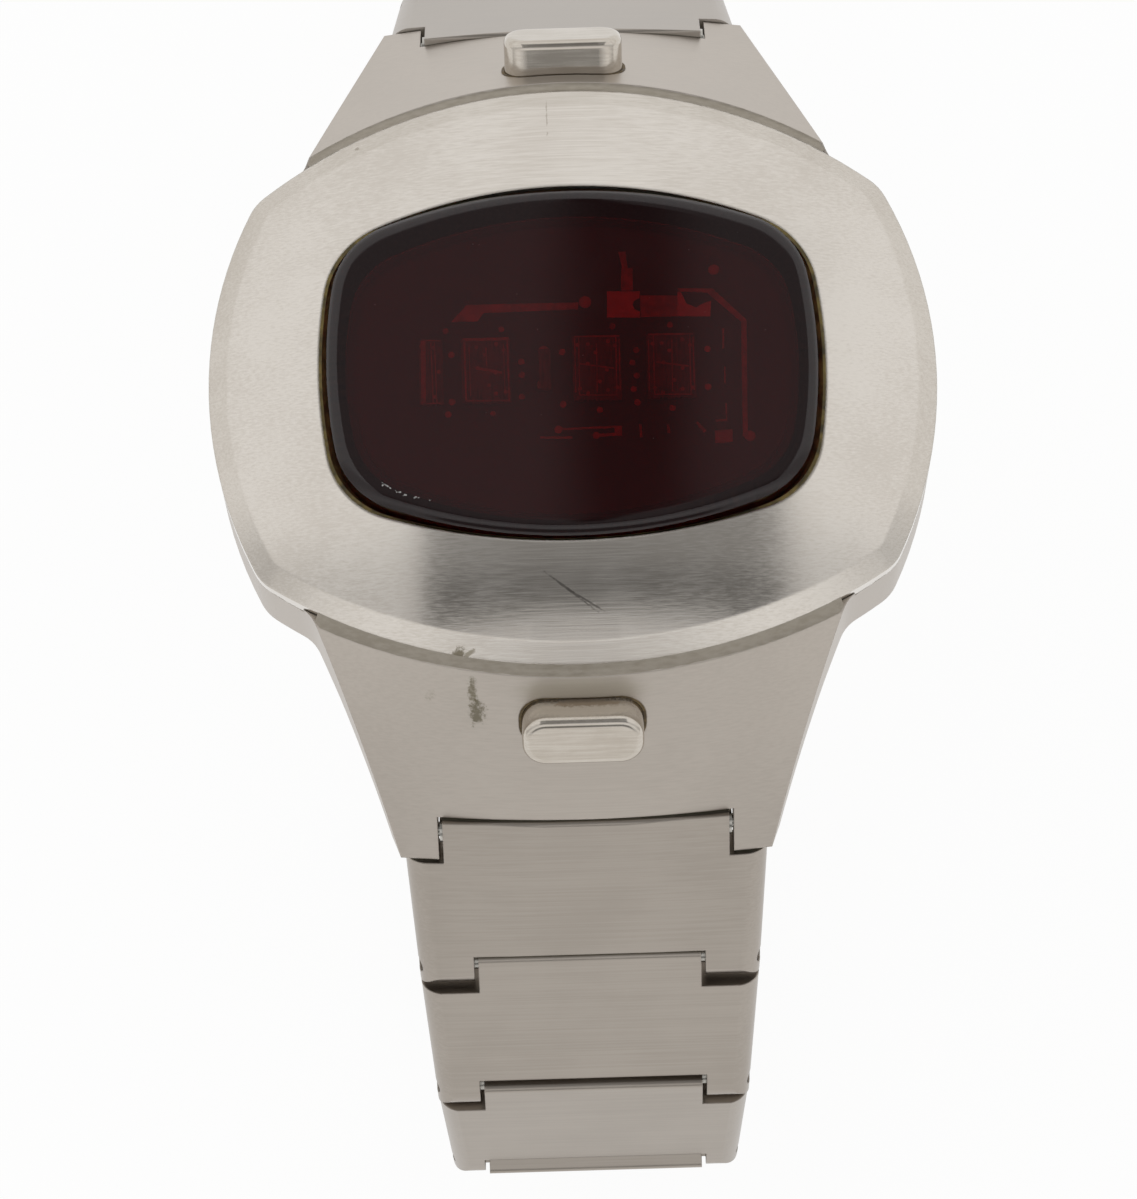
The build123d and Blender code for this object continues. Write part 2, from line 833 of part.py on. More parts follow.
def clasp_blade_outer():
    """The blade hinged on the cover, forked at its far end for the other blade."""
    half = blade_half_width()
    top = outer_blade_height + blade_thickness
    body = block((-half, half), (fold_y, hinge_y), (outer_blade_height, top))
    body += rod_across(hinge_y, hinge_height, hinge_eye_radius, half)
    body += rod_across(fold_y, fold_height, fold_eye_radius, half)
    throat = fold_knuckle_half + fold_side_gap
    reach = fold_y + fold_eye_radius + fork_clearance
    body -= block((-throat, throat), (fold_y - deep, reach), (-deep, deep))
    body -= oblong_window(outer_blade_height, top)
    body -= rod_across(hinge_y, hinge_height, clasp_pin_radius + pin_bore_gap, cover_width)
    body -= rod_across(fold_y, fold_height, clasp_pin_radius + pin_bore_gap, cover_width)
    return body


def clasp_blade_inner():
    """The blade that folds onto the other and reaches the last pin at 12 o'clock."""
    top = inner_blade_height + blade_thickness
    half, knuckle = inner_blade_half, fold_knuckle_half
    reach = Vector(0, clasp_pin_y - hinge_y, clasp_pin_height - hinge_height).length
    body = block((-half, half), (fold_y + inner_shoulder, clasp_pin_y), (inner_blade_height, top))
    body &= rod_across(hinge_y, hinge_height, reach - pin_radius - inner_end_gap, half) + block(
        (-half, half), (fold_y, hinge_y), (inner_blade_height, top)
    )
    body += block((-knuckle, knuckle), (fold_y, hinge_y), (inner_blade_height, top))
    body += rod_across(fold_y, fold_height, fold_eye_radius, knuckle)
    body -= oblong_window(inner_blade_height, top)
    body -= rod_across(fold_y, fold_height, clasp_pin_radius + pin_bore_gap, cover_width)
    return body


def cover_hinge_pin():
    return rod_across(hinge_y, hinge_height, clasp_pin_radius, cover_width / 2 - pin_inset)


def blade_fold_pin():
    return rod_across(fold_y, fold_height, clasp_pin_radius, blade_half_width())


def clasp_spring_bar():
    gap_between = cover_width - 2 * cover_wall
    return spring_bar(-clasp_pin_y, clasp_pin_height, gap_between, cover_wall - bar_end_gap)


head_pieces = {
    "mid_case": mid_case(), "dome_bezel": dome_bezel(), "lens_gasket": lens_gasket(),
    "display_lens": display_lens(), "display_substrate": display_substrate(),
    "led_digits": led_digits(), "module_housing": module_housing(),
    "circuit_board": circuit_board(), "driver_chip": driver_chip(),
    "quartz_crystal": quartz_crystal(), "trimmer_capacitor": trimmer_capacitor(),
    "reed_switches": reed_switches(), "cell_contacts": cell_contacts(),
    "power_cell_left": power_cell(-1), "power_cell_right": power_cell(1),
    "case_back": case_back(), "back_gasket": gasket_ring(back_gasket_clearance),
    "back_screws": back_screws(),
    "battery_hatch_left": battery_hatch(-1), "battery_hatch_right": battery_hatch(1),
    "hatch_seal_left": hatch_seal(-1), "hatch_seal_right": hatch_seal(1),
}
pieces = {}
for side, hour in ((1, "12"), (-1, "6")):
    head_pieces["push_button_" + hour] = push_button(side)
    head_pieces["button_magnet_" + hour] = button_magnet(side)
    head_pieces["button_spring_" + hour] = button_spring(side)
    head_pieces["button_pin_" + hour] = button_pin(side)
    head_pieces["case_spring_bar_" + hour] = case_spring_bar(side)
    for index in range(link_count):
        pieces[f"link_{hour}_{index + 1}"] = link(side, index)
    for index in range(1, link_count):
        pieces[f"link_pin_{hour}_{index}"] = link_pin(side, index)
pieces[f"link_pin_12_{link_count}"] = link_pin(1, link_count)
pieces["clasp_cover"] = clasp_cover()
pieces["clasp_blade_outer"] = clasp_blade_outer()
pieces["clasp_blade_inner"] = clasp_blade_inner()
pieces["cover_hinge_pin"] = cover_hinge_pin()
pieces["blade_fold_pin"] = blade_fold_pin()
pieces["clasp_spring_bar"] = clasp_spring_bar()
for name, shape in head_pieces.items():
    pieces[name] = Pos(0, 0, head_lift) * shape

os.makedirs("parts", exist_ok=True)
for name, shape in pieces.items():
    export_step(shape, f"parts/{name}.step")
for name, value in (
    ("head lift", head_lift), ("case pin y", case_pin.Y), ("case pin z", case_pin.Z + head_lift),
    ("clasp pin y", clasp_pin_y), ("hinge y", hinge_y), ("fold y", fold_y),
    ("button y", button_seat.Y), ("button z", button_seat.Z + head_lift),
    ("lens face z", lens_face_height + head_lift),
):
    print(f"{name} {value:.4f}")
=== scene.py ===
import json
import math
import random
import bmesh
import bpy
from mathutils import Matrix, Vector
from mathutils.bvhtree import BVHTree


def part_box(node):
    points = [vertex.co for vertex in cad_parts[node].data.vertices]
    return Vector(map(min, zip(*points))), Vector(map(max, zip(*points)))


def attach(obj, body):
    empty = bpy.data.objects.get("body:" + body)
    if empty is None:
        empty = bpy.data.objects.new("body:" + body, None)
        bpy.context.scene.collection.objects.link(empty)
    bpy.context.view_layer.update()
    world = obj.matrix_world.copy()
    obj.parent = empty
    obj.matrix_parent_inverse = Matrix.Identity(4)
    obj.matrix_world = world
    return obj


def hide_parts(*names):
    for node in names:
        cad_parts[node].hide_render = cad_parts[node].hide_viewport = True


# A steel wristwatch with a light-emitting display, seen from above and a little from
# the 6 o'clock side, standing on its clasp on a plain white table. Sizes in the
# dictionaries are in millimetres unless they say otherwise.
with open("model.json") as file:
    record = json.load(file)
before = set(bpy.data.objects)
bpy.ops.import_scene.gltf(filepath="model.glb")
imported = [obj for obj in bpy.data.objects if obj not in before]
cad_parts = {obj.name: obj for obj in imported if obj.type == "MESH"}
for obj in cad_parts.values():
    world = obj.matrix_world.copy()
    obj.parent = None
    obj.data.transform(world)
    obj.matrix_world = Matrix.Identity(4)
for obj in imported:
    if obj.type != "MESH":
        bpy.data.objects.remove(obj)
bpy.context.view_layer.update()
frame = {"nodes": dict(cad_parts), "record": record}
mm = 0.001
nodes = frame["nodes"]
lensLow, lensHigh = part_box("display_lens")
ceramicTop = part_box("display_substrate")[1].z
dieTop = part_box("led_digits")[1].z
print("frame loaded, display face at", round(lensHigh.z / mm, 2), "mm")


def linearColour(text):
    parts = [int(text[i:i + 2], 16) / 255 for i in (1, 3, 5)]
    turned = [p / 12.92 if p <= 0.04045 else ((p + 0.055) / 1.055) ** 2.4 for p in parts]
    return (*turned, 1.0)


def addNode(tree, kind, settings=None, inputs=None):
    node = tree.nodes.new(kind)
    for name, value in (settings or {}).items():
        setattr(node, name, value)
    for key, value in (inputs or {}).items():
        socket = node.inputs[key]
        if isinstance(value, bpy.types.NodeSocket):
            tree.links.new(value, socket)
        else:
            socket.default_value = value
    return node


def startTree(name):
    material = bpy.data.materials.new(name)
    material.use_nodes = True
    material.node_tree.nodes.clear()
    return material, material.node_tree


def meshPiece(name, shape, material):
    bmesh.ops.recalc_face_normals(shape, faces=shape.faces)
    mesh = bpy.data.meshes.new(name)
    shape.to_mesh(mesh)
    shape.free()
    mesh.materials.append(material)
    piece = bpy.data.objects.new(name, mesh)
    bpy.context.scene.collection.objects.link(piece)
    return piece


def bridgeLoops(shape, first, second):
    for i in range(len(first)):
        j = (i + 1) % len(first)
        shape.faces.new((first[i], first[j], second[j], second[i]))


def nodeShell(name):
    data = nodes[name].data
    return BVHTree.FromPolygons([p.co for p in data.vertices], [f.vertices for f in data.polygons])


def heightOn(shell, x, y):  # how high a surface lies at x and y, found by looking straight down on it
    start = Vector((x * mm, y * mm, lensHigh.z + 10 * mm))
    hit = shell.ray_cast(start, Vector((0, 0, -1)))[0]
    return hit.z / mm if hit else None


# camera: the photograph's own angle in degrees, worked out from the window, the dome and the links.
# Shifts, distance and clipping are in metres, and the long lens is 5600 pixels for a frame of 1137.
cameraValues = {
    "tilt": 15.96, "turn": 0.1, "roll": -1.7,
    "sideShift": -0.57 * mm, "lengthShift": -13.57 * mm, "distance": 300 * mm,
    "focalPixels": 5600, "framePixels": 1137, "sensor": 36,
    "clipStart": 0.005, "clipEnd": 20,
}


def makeCamera(v):
    tilt, turn, roll = (math.radians(v[k]) for k in ("tilt", "turn", "roll"))
    back = Vector((math.sin(turn), -math.sin(tilt) * math.cos(turn), math.cos(tilt) * math.cos(turn)))
    right = Vector((0, math.cos(tilt), math.sin(tilt))).cross(back).normalized()
    up = back.cross(right)
    side = right * math.cos(roll) + up * math.sin(roll)
    top = up * math.cos(roll) - right * math.sin(roll)
    place = Vector((v["sideShift"], v["lengthShift"], lensHigh.z)) + back * v["distance"]
    data = bpy.data.cameras.new("photoCamera")
    data.sensor_fit = "HORIZONTAL"
    data.sensor_width = v["sensor"]
    data.lens = v["sensor"] * v["focalPixels"] / v["framePixels"]
    data.clip_start = v["clipStart"]
    data.clip_end = v["clipEnd"]
    data.dof.use_dof = False
    camera = bpy.data.objects.new("photoCamera", data)
    bpy.context.scene.collection.objects.link(camera)
    camera.matrix_world = Matrix.Translation(place) @ Matrix((side, top, back)).transposed().to_4x4()
    bpy.context.scene.camera = camera
    print("camera ready")


# studio: a white tent with a darker opening over the watch, which the dome and the window mirror.
# A pair of numbers is where an edge starts and ends in the direction looked in, from -1 to 1, with
# x to the east, y to the north (12 o'clock) and z up. Tones are shares of the tent's own white.
# The window mirrors the north half of the opening, with a stripe down it. The dome mirrors the south
# half, whose lower part is darker still (shadeNorth, shadeTone).
studioValues = {
    "tent": "#FFFFFF", "low": "#F2F1EF", "tentRise": (-0.1, 0.7),
    "openingTone": 0.33, "openingLow": (0, 0.1),
    "openingWest": (-0.37, -0.345), "openingEast": (0.42, 0.52),
    "openingSouth": (-0.305, -0.265), "openingNorth": (0.48, 0.62),
    "shadeNorth": (-0.22, -0.14), "shadeTone": 0.5,
    "windowTone": 0.36, "windowHalf": (-0.1, 0.1),
    "stripeWest": (-0.008, 0.006), "stripeEast": (0.014, 0.028), "stripeTone": 0.25,
    "southFade": (-0.62, -0.33), "southTone": 0.72, "southEnd": (-0.2, 0.0),
    "lowFade": (-0.78, -0.66), "lowTone": 0.78, "lowTop": (0.45, 0.1),
    "frontSouth": (-0.83, -0.78), "frontLow": (0.2, 0.3), "frontWide": (0.3, 0.4), "frontTone": 0.3,
}
# soft lamp from the upper left: power in watts, size and place in metres
lampValues = {"power": 0.5, "size": 0.5, "place": (-0.15, 0.3, 0.6)}
# table: size in metres. "white" is the share of plain white that the camera and the metal see, and
# the rest is card that takes the shadow.
tableValues = {"size": 6.0, "colour": "#FAFAF8", "white": 0.94}


def ramp(tree, value, low, high, start=0.0, end=1.0):
    limits = {"Value": value, "From Min": low, "From Max": high, "To Min": start, "To Max": end}
    return addNode(tree, "ShaderNodeMapRange", {"interpolation_type": "SMOOTHSTEP"}, limits).outputs[0]


def combine(tree, how, *values):
    result = values[0]
    for value in values[1:]:
        result = addNode(tree, "ShaderNodeMath", {"operation": how}, {0: result, 1: value}).outputs[0]
    return result


def makeWorld(v):
    world = bpy.data.worlds.new("studioTent")
    world.use_nodes = True
    tree = world.node_tree
    tree.nodes.clear()
    way = addNode(tree, "ShaderNodeTexCoord").outputs["Generated"]
    x, y, z = addNode(tree, "ShaderNodeSeparateXYZ", inputs={0: way}).outputs
    tent = addNode(tree, "ShaderNodeMix", {"data_type": "RGBA"}, {
        0: ramp(tree, z, *v["tentRise"]), 6: linearColour(v["low"]), 7: linearColour(v["tent"])}).outputs[2]
    opening = combine(
        tree, "MULTIPLY", ramp(tree, x, *v["openingWest"]), ramp(tree, x, *v["openingEast"], 1, 0),
        ramp(tree, y, *v["openingSouth"]), ramp(tree, y, *v["openingNorth"], 1, 0),
        ramp(tree, z, *v["openingLow"]))
    stripe = combine(
        tree, "MULTIPLY", ramp(tree, x, *v["stripeWest"]),
        ramp(tree, x, *v["stripeEast"], 1, 0), v["stripeTone"])
    window = combine(tree, "SUBTRACT", v["windowTone"], stripe)
    shade = combine(tree, "MULTIPLY", ramp(tree, y, *v["shadeNorth"], 1, 0), 1 - v["shadeTone"])
    over = combine(tree, "MULTIPLY", combine(tree, "SUBTRACT", 1.0, shade), v["openingTone"])
    tone = addNode(tree, "ShaderNodeMix", {"data_type": "FLOAT"}, {
        0: ramp(tree, y, *v["windowHalf"]), 2: over, 3: window}).outputs[0]
    near = ramp(tree, y, *v["southFade"], 1.0, v["southTone"])
    low = ramp(tree, y, *v["lowFade"], v["lowTone"], 1.0)
    dip = combine(tree, "MAXIMUM", low, ramp(tree, z, *v["lowTop"]))
    fade = combine(tree, "MULTIPLY", near, dip)
    behind = ramp(tree, y, *v["southEnd"])
    south = addNode(tree, "ShaderNodeMix", {"data_type": "FLOAT"}, {0: behind, 2: fade, 3: 1.0}).outputs[0]
    level = addNode(tree, "ShaderNodeMix", {"data_type": "FLOAT"}, {
        0: opening, 2: south, 3: tone}).outputs[0]
    beside = combine(tree, "ABSOLUTE", x, 0.0)
    front = combine(  # a dark shape low in front, which the walls and edges of the buttons mirror
        tree, "MULTIPLY", ramp(tree, y, *v["frontSouth"], 1, 0), ramp(tree, z, *v["frontLow"]),
        ramp(tree, beside, *v["frontWide"], 1, 0), 1 - v["frontTone"])
    level = combine(tree, "MULTIPLY", level, combine(tree, "SUBTRACT", 1.0, front))
    light = addNode(tree, "ShaderNodeVectorMath", {"operation": "SCALE"}, {
        0: tent, "Scale": level}).outputs[0]
    studio = addNode(tree, "ShaderNodeBackground", inputs={0: light})
    # the camera sees plain white behind the watch, and everything else sees the tent
    white = addNode(tree, "ShaderNodeBackground", inputs={0: (1, 1, 1, 1)})
    seen = addNode(tree, "ShaderNodeLightPath").outputs["Is Camera Ray"]
    both = addNode(tree, "ShaderNodeMixShader", inputs={
        0: seen, 1: studio.outputs[0], 2: white.outputs[0]})
    addNode(tree, "ShaderNodeOutputWorld", inputs={0: both.outputs[0]})
    bpy.context.scene.world = world
    print("studio tent ready")


def makeLamp(v):
    data = bpy.data.lights.new("softBox", "AREA")
    data.size = v["size"]
    data.energy = v["power"]
    lamp = bpy.data.objects.new("softBox", data)
    lamp.location = v["place"]
    aim = Vector((0, 0, lensHigh.z)) - lamp.location
    lamp.rotation_euler = aim.to_track_quat("-Z", "Y").to_euler()
    lamp.visible_glossy = False  # it lights the watch but no metal or glass mirrors it
    lamp.visible_transmission = False
    bpy.context.scene.collection.objects.link(lamp)
    print("lamp ready")


def makeTable(v):
    half = v["size"] / 2
    mesh = bpy.data.meshes.new("table")
    corners = [(-half, -half, 0), (half, -half, 0), (half, half, 0), (-half, half, 0)]
    mesh.from_pydata(corners, [], [(0, 1, 2, 3)])
    table = bpy.data.objects.new("table", mesh)
    bpy.context.scene.collection.objects.link(table)
    material, tree = startTree("mattWhiteCard")  # card, uncoated: takes the shadow and mirrors nothing
    card = addNode(tree, "ShaderNodeBsdfDiffuse", inputs={"Color": linearColour(v["colour"])})
    glow = addNode(tree, "ShaderNodeEmission", inputs={"Color": (1, 1, 1, 1), "Strength": 1.0})
    path = addNode(tree, "ShaderNodeLightPath")
    mirrored = combine(tree, "MAXIMUM", path.outputs["Is Glossy Ray"], path.outputs["Is Transmission Ray"])
    looked = combine(tree, "MAXIMUM", path.outputs["Is Camera Ray"], mirrored)
    seen = combine(tree, "MULTIPLY", looked, v["white"])
    mixed = addNode(tree, "ShaderNodeMixShader", inputs={
        0: seen, 1: card.outputs[0], 2: glow.outputs[0]})
    addNode(tree, "ShaderNodeOutputMaterial", inputs={0: mixed.outputs[0]})
    mesh.materials.append(material)
    print("table ready")


# finishes: two tones of the colour, two roughnesses, and the size of one stroke or grain along
# X, Y and Z. Real grinding strokes are about 0.03 wide: they are drawn 0.1 wide, so that they show.
# "cloud" is the size of its broad patches, "relief" and "depth" the height of the grain, "edge" how far
# the edges are broken by hand, and the crease pair the tone and share of dirt and painted shade in creases.
finishes = {
    # stainless steel, ground by hand on a belt across the watch: fine bright lines along X
    "beltGroundSteel": {
        "tones": ("#C8C1B8", "#D6D0C8"), "metallic": 1.0, "rough": (0.1, 0.17),
        "grain": (8.0, 0.1, 0.1), "cloud": 6.0, "relief": 0.38, "depth": 0.004,
        "creaseDirtAndShade": ("#3C3A2C", 0.4), "edge": 0.2,
    },
    # the same steel with a satin wheel on the case middle: duller, warmer
    "satinSteel": {
        "tones": ("#B8B0A7", "#C0B8AF"), "metallic": 1.0, "rough": (0.36, 0.42),
        "grain": (9.0, 0.12, 0.12), "cloud": 7.0, "relief": 0.14, "depth": 0.003,
        "creaseDirtAndShade": ("#7A7258", 0.6), "edge": 0.12,
    },
    # the groove under the rim, which no wheel reaches: blasted, dull, with old polish in it, and a darker
    # tone that is partly painted shade of the hollow
    "grooveSteelPolishAndShade": {
        "tones": ("#958D80", "#A69E92"), "metallic": 0.55, "rough": (0.45, 0.6),
        "grain": (0.8, 0.25, 0.25), "cloud": 2.5, "relief": 0.25, "depth": 0.008,
        "creaseDirtAndShade": ("#5A5442", 0.35), "edge": 0.0,
    },
    # folded bracelet steel, satin finished, and darker than the case: the darker tone is partly painted
    # shade, for the dimmer surroundings the links mirror
    "satinLinkSteel": {
        "tones": ("#A19990", "#AAA299"), "metallic": 1.0, "rough": (0.28, 0.33),
        "grain": (12.0, 0.12, 0.12), "cloud": 6.0, "relief": 0.14, "depth": 0.003,
        "creaseDirtAndShade": ("#6E6B52", 0.85), "edge": 0.12,
    },
    # steel polished on a soft wheel: buttons and screws, with a few fine hairlines
    "polishedSteel": {
        "tones": ("#BDB5AA", "#CAC3B9"), "metallic": 1.0, "rough": (0.09, 0.16),
        "grain": (3.0, 0.15, 0.15), "cloud": 2.5, "relief": 0.05, "depth": 0.003,
        "creaseDirtAndShade": ("#4A3B22", 0.35), "edge": 0.06,
    },
    # drawn steel wire, cut and left as drawn: pins, springs and bars
    "drawnSteelWire": {
        "tones": ("#A9A6A0", "#C4C1BA"), "metallic": 1.0, "rough": (0.18, 0.3),
        "grain": (2.5, 0.05, 0.05), "cloud": 1.5, "relief": 0.2, "depth": 0.003,
        "creaseDirtAndShade": ("#33352A", 0.3), "edge": 0.0,
    },
    # nickel-plated cell cans: smooth, a little yellow, with fingerprints
    "platedCellCan": {
        "tones": ("#BDB7A8", "#D2CDC0"), "metallic": 1.0, "rough": (0.14, 0.3),
        "grain": (0.8, 0.8, 0.8), "cloud": 3.0, "relief": 0.1, "depth": 0.002,
        "creaseDirtAndShade": ("#4A4436", 0.2), "edge": 0.0,
    },
    # rolled brass spring contacts, lightly tarnished
    "rolledBrass": {
        "tones": ("#B08A3E", "#C9A657"), "metallic": 1.0, "rough": (0.2, 0.36),
        "grain": (1.5, 0.1, 0.1), "cloud": 1.5, "relief": 0.2, "depth": 0.003,
        "creaseDirtAndShade": ("#4C3818", 0.35), "edge": 0.0,
    },
    # gold plating on fired ceramic: seen through the red window as dull red lines
    "goldPlatedTrack": {
        "tones": ("#A8783A", "#DDB064"), "metallic": 0.35, "rough": (0.4, 0.6),
        "grain": (0.5, 0.5, 0.5), "cloud": 1.4, "relief": 0.15, "depth": 0.002,
        "creaseDirtAndShade": ("#3A2A12", 0.2), "edge": 0.0,
    },
    # the broad plates of the same gold, burnished where the foil was pressed down: the brightest red
    "burnishedGoldPlate": {
        "tones": ("#E6C49A", "#FFE9C8"), "metallic": 0.0, "rough": (0.4, 0.6),
        "grain": (0.9, 0.5, 0.5), "cloud": 1.8, "relief": 0.15, "depth": 0.002,
        "creaseDirtAndShade": ("#3A2A12", 0.2), "edge": 0.0,
    },
    # dried polish and grease: brown, waxy where it is thick
    "driedGrime": {
        "tones": ("#4E4028", "#7A6848"), "metallic": 0.0, "rough": (0.5, 0.8),
        "grain": (0.25, 0.25, 0.25), "cloud": 1.0, "relief": 0.5, "depth": 0.02,
        "creaseDirtAndShade": ("#241C10", 0.3), "edge": 0.0,
    },
    # lint and glass dust: pale and quite matt
    "paleLint": {
        "tones": ("#8E8A88", "#B4B0AE"), "metallic": 0.0, "rough": (0.7, 0.9),
        "grain": (0.05, 0.05, 0.05), "cloud": 0.2, "relief": 0.2, "depth": 0.004,
        "creaseDirtAndShade": ("#3A3836", 0.2), "edge": 0.0,
    },
    # nitrile rubber round the window, aged and full of wrist dirt: olive and dull
    "agedWindowRubber": {
        "tones": ("#3A3520", "#7A6C3E"), "metallic": 0.0, "rough": (0.6, 0.85),
        "grain": (0.6, 0.6, 0.4), "cloud": 1.2, "relief": 0.6, "depth": 0.02,
        "creaseDirtAndShade": ("#14140C", 0.5), "edge": 0.0,
    },
    # black nitrile sealing rings, moulded and greased
    "greasedSealRubber": {
        "tones": ("#141414", "#22221F"), "metallic": 0.0, "rough": (0.35, 0.55),
        "grain": (0.5, 0.5, 0.5), "cloud": 1.5, "relief": 0.25, "depth": 0.01,
        "creaseDirtAndShade": ("#0A0A08", 0.3), "edge": 0.0,
    },
    # glass-filled nylon module frame, moulded: faint flow marks and a matt skin
    "mouldedNylon": {
        "tones": ("#2E2424", "#3A2E2D"), "metallic": 0.0, "rough": (0.45, 0.65),
        "grain": (2.2, 0.35, 0.35), "cloud": 3.0, "relief": 0.3, "depth": 0.012,
        "creaseDirtAndShade": ("#0C0B0A", 0.3), "edge": 0.0,
    },
    # black alumina display plate, fired: even and slightly grainy
    "firedAlumina": {
        "tones": ("#2E1F1F", "#3A2828"), "metallic": 0.0, "rough": (0.4, 0.6),
        "grain": (0.16, 0.16, 0.16), "cloud": 2.5, "relief": 0.3, "depth": 0.006,
        "creaseDirtAndShade": ("#080606", 0.2), "edge": 0.0,
    },
    # gallium arsenide phosphide dies, sawn: dark red crystal with fine saw lines
    "sawnDiodeCrystal": {
        "tones": ("#5E3434", "#7C4040"), "metallic": 0.0, "rough": (0.2, 0.4),
        "grain": (0.12, 1.2, 0.3), "cloud": 0.9, "relief": 0.2, "depth": 0.004,
        "creaseDirtAndShade": ("#160A0A", 0.3), "edge": 0.0,
    },
    # glass and epoxy board with green mask: the weave shows through as a fine mottle
    "epoxyBoard": {
        "tones": ("#1F4A2C", "#2C6238"), "metallic": 0.0, "rough": (0.3, 0.45),
        "grain": (0.5, 0.5, 0.5), "cloud": 2.2, "relief": 0.35, "depth": 0.01,
        "creaseDirtAndShade": ("#0E1E12", 0.3), "edge": 0.0,
    },
    # transfer-moulded chip package: black epoxy with a fine eroded surface
    "mouldedChipEpoxy": {
        "tones": ("#171717", "#242424"), "metallic": 0.0, "rough": (0.5, 0.7),
        "grain": (0.12, 0.12, 0.12), "cloud": 1.5, "relief": 0.4, "depth": 0.008,
        "creaseDirtAndShade": ("#0A0A0A", 0.2), "edge": 0.0,
    },
    # tinned can of the crystal and the trimmer: bright, with soft dents
    "tinnedCan": {
        "tones": ("#A8A8A2", "#C6C6BF"), "metallic": 1.0, "rough": (0.25, 0.4),
        "grain": (0.9, 0.3, 0.3), "cloud": 1.2, "relief": 0.25, "depth": 0.006,
        "creaseDirtAndShade": ("#3A3A34", 0.3), "edge": 0.0,
    },
    # drawn glass tube of the reed switches: pale green, smooth
    "drawnReedGlass": {
        "tones": ("#A9B9A6", "#C5D2C0"), "metallic": 0.0, "rough": (0.05, 0.12),
        "grain": (3.0, 0.4, 0.4), "cloud": 1.5, "relief": 0.1, "depth": 0.004,
        "creaseDirtAndShade": ("#4C5448", 0.2), "edge": 0.0,
    },
    # sintered magnet, nickel flashed: grey and slightly pitted
    "sinteredMagnet": {
        "tones": ("#4A4A4C", "#66666A"), "metallic": 1.0, "rough": (0.3, 0.5),
        "grain": (0.15, 0.15, 0.15), "cloud": 0.8, "relief": 0.4, "depth": 0.008,
        "creaseDirtAndShade": ("#1C1C1C", 0.3), "edge": 0.0,
    },
}
# marks of wear on the watch at rest: place, half sizes, turn about Z in degrees, colour, strength
# and how lumpy the outline is. Scratches leave bare steel, so they stay metal.
scratches = {
    "beltGroundSteel": [
        ((-0.5, -12.75, 53.2), (1.7, 0.08, 3.0), 38, "#5E5852", 0.6, 0.8),
        ((0.4, -13.3, 53.0), (1.3, 0.06, 3.0), 32, "#5E5852", 0.6, 0.8),
        ((-1.0, 14.7, 52.6), (0.05, 1.1, 3.0), 0, "#8C8478", 0.45, 1.2),
    ],
}
# stains of dried polish and skin grease, which aren't metal. The two pale patches by the 6 o'clock button
# are dried polish, and also painted light.
marks = {
    "beltGroundSteel": [
        ((-11.55, 13.55, 51.6), (0.16, 0.12, 3.0), 0, "#8A7F70", 0.6, 0.4),
        ((-6.6, -15.75, 52.0), (0.42, 0.5, 3.0), 25, "#6A6048", 0.9, 0.5),
        ((-6.1, -15.75, 52.0), (0.5, 0.16, 3.0), -30, "#7A7058", 0.7, 0.45),
    ],
    "satinSteel": [
        ((-5.95, -17.75, 50.75), (0.34, 1.0, 1.3), 4, "#6A6148", 0.85, 0.55),
        ((-5.75, -18.6, 49.6), (0.55, 0.9, 1.2), 0, "#625A42", 0.85, 0.6),
        ((-8.25, -17.45, 50.8), (0.36, 0.3, 1.6), 0, "#857D68", 0.75, 0.5),
        ((8.78, -20.17, 47.6), (0.1, 0.1, 0.3), 0, "#6A6255", 0.8, 0.3),
        ((7.4, -17.6, 50.6), (0.12, 0.1, 0.3), 0, "#6A6255", 0.7, 0.3),
        # pale haze of dried polish on the flank above the 6 o'clock button: painted light, lifting the dark
        # reflection of the button's wall
        ((0.0, -17.75, 50.8), (4.0, 0.85, 1.1), 0, "#ACA494", 0.65, 0.1),
    ],
    "polishedSteel": [
        # pale film of polish on the 6 o'clock button's upper wall: painted light, lifting the wall's dark
        # reflection
        ((0.0, -18.75, 50.7), (4.2, 0.95, 0.95), 0, "#B4A898", 0.7, 0.12),
        ((0.4, -18.25, 50.35), (2.6, 0.45, 0.5), 0, "#6E5638", 0.6, 0.5),
    ],
}
# how every finish mixes its patterns, and how the outline of a mark breaks up
patternMix = {
    "grainShare": 0.55, "cloudShare": 0.45, "toneEdges": (0.36, 0.64), "roughEdges": (0.34, 0.66),
    "creaseReach": 0.3, "creaseEdges": (0.15, 0.62),
    "lumpSize": 0.28, "lumpReach": 4, "markEdges": (0.5, 1.1),
}


def mark(tree, place, colour, spec, mix):
    middle, halves, turn, tone, strength, lump = spec
    moved = addNode(tree, "ShaderNodeVectorMath", {"operation": "SUBTRACT"}, {
        0: place, 1: [c * mm for c in middle]}).outputs[0]
    turned = addNode(tree, "ShaderNodeVectorRotate", {"rotation_type": "Z_AXIS"}, {
        "Vector": moved, "Angle": math.radians(turn)}).outputs[0]
    sized = addNode(tree, "ShaderNodeVectorMath", {"operation": "DIVIDE"}, {
        0: turned, 1: [h * mm for h in halves]}).outputs[0]
    far = addNode(tree, "ShaderNodeVectorMath", {"operation": "LENGTH"}, {0: sized}).outputs["Value"]
    lumps = addNode(tree, "ShaderNodeTexNoise", inputs={
        "Vector": place, "Scale": 1 / (mix["lumpSize"] * mm), "Detail": 5.0, "Roughness": 0.75}).outputs[0]
    ragged = combine(tree, "MULTIPLY", combine(tree, "SUBTRACT", lumps, 0.5), mix["lumpReach"] * lump)
    reach = combine(tree, "ADD", far, ragged)
    share = combine(tree, "MULTIPLY", ramp(tree, reach, *mix["markEdges"], 1, 0), strength)
    return share, addNode(tree, "ShaderNodeMix", {"data_type": "RGBA"}, {
        0: share, 6: colour, 7: linearColour(tone)}).outputs[2]


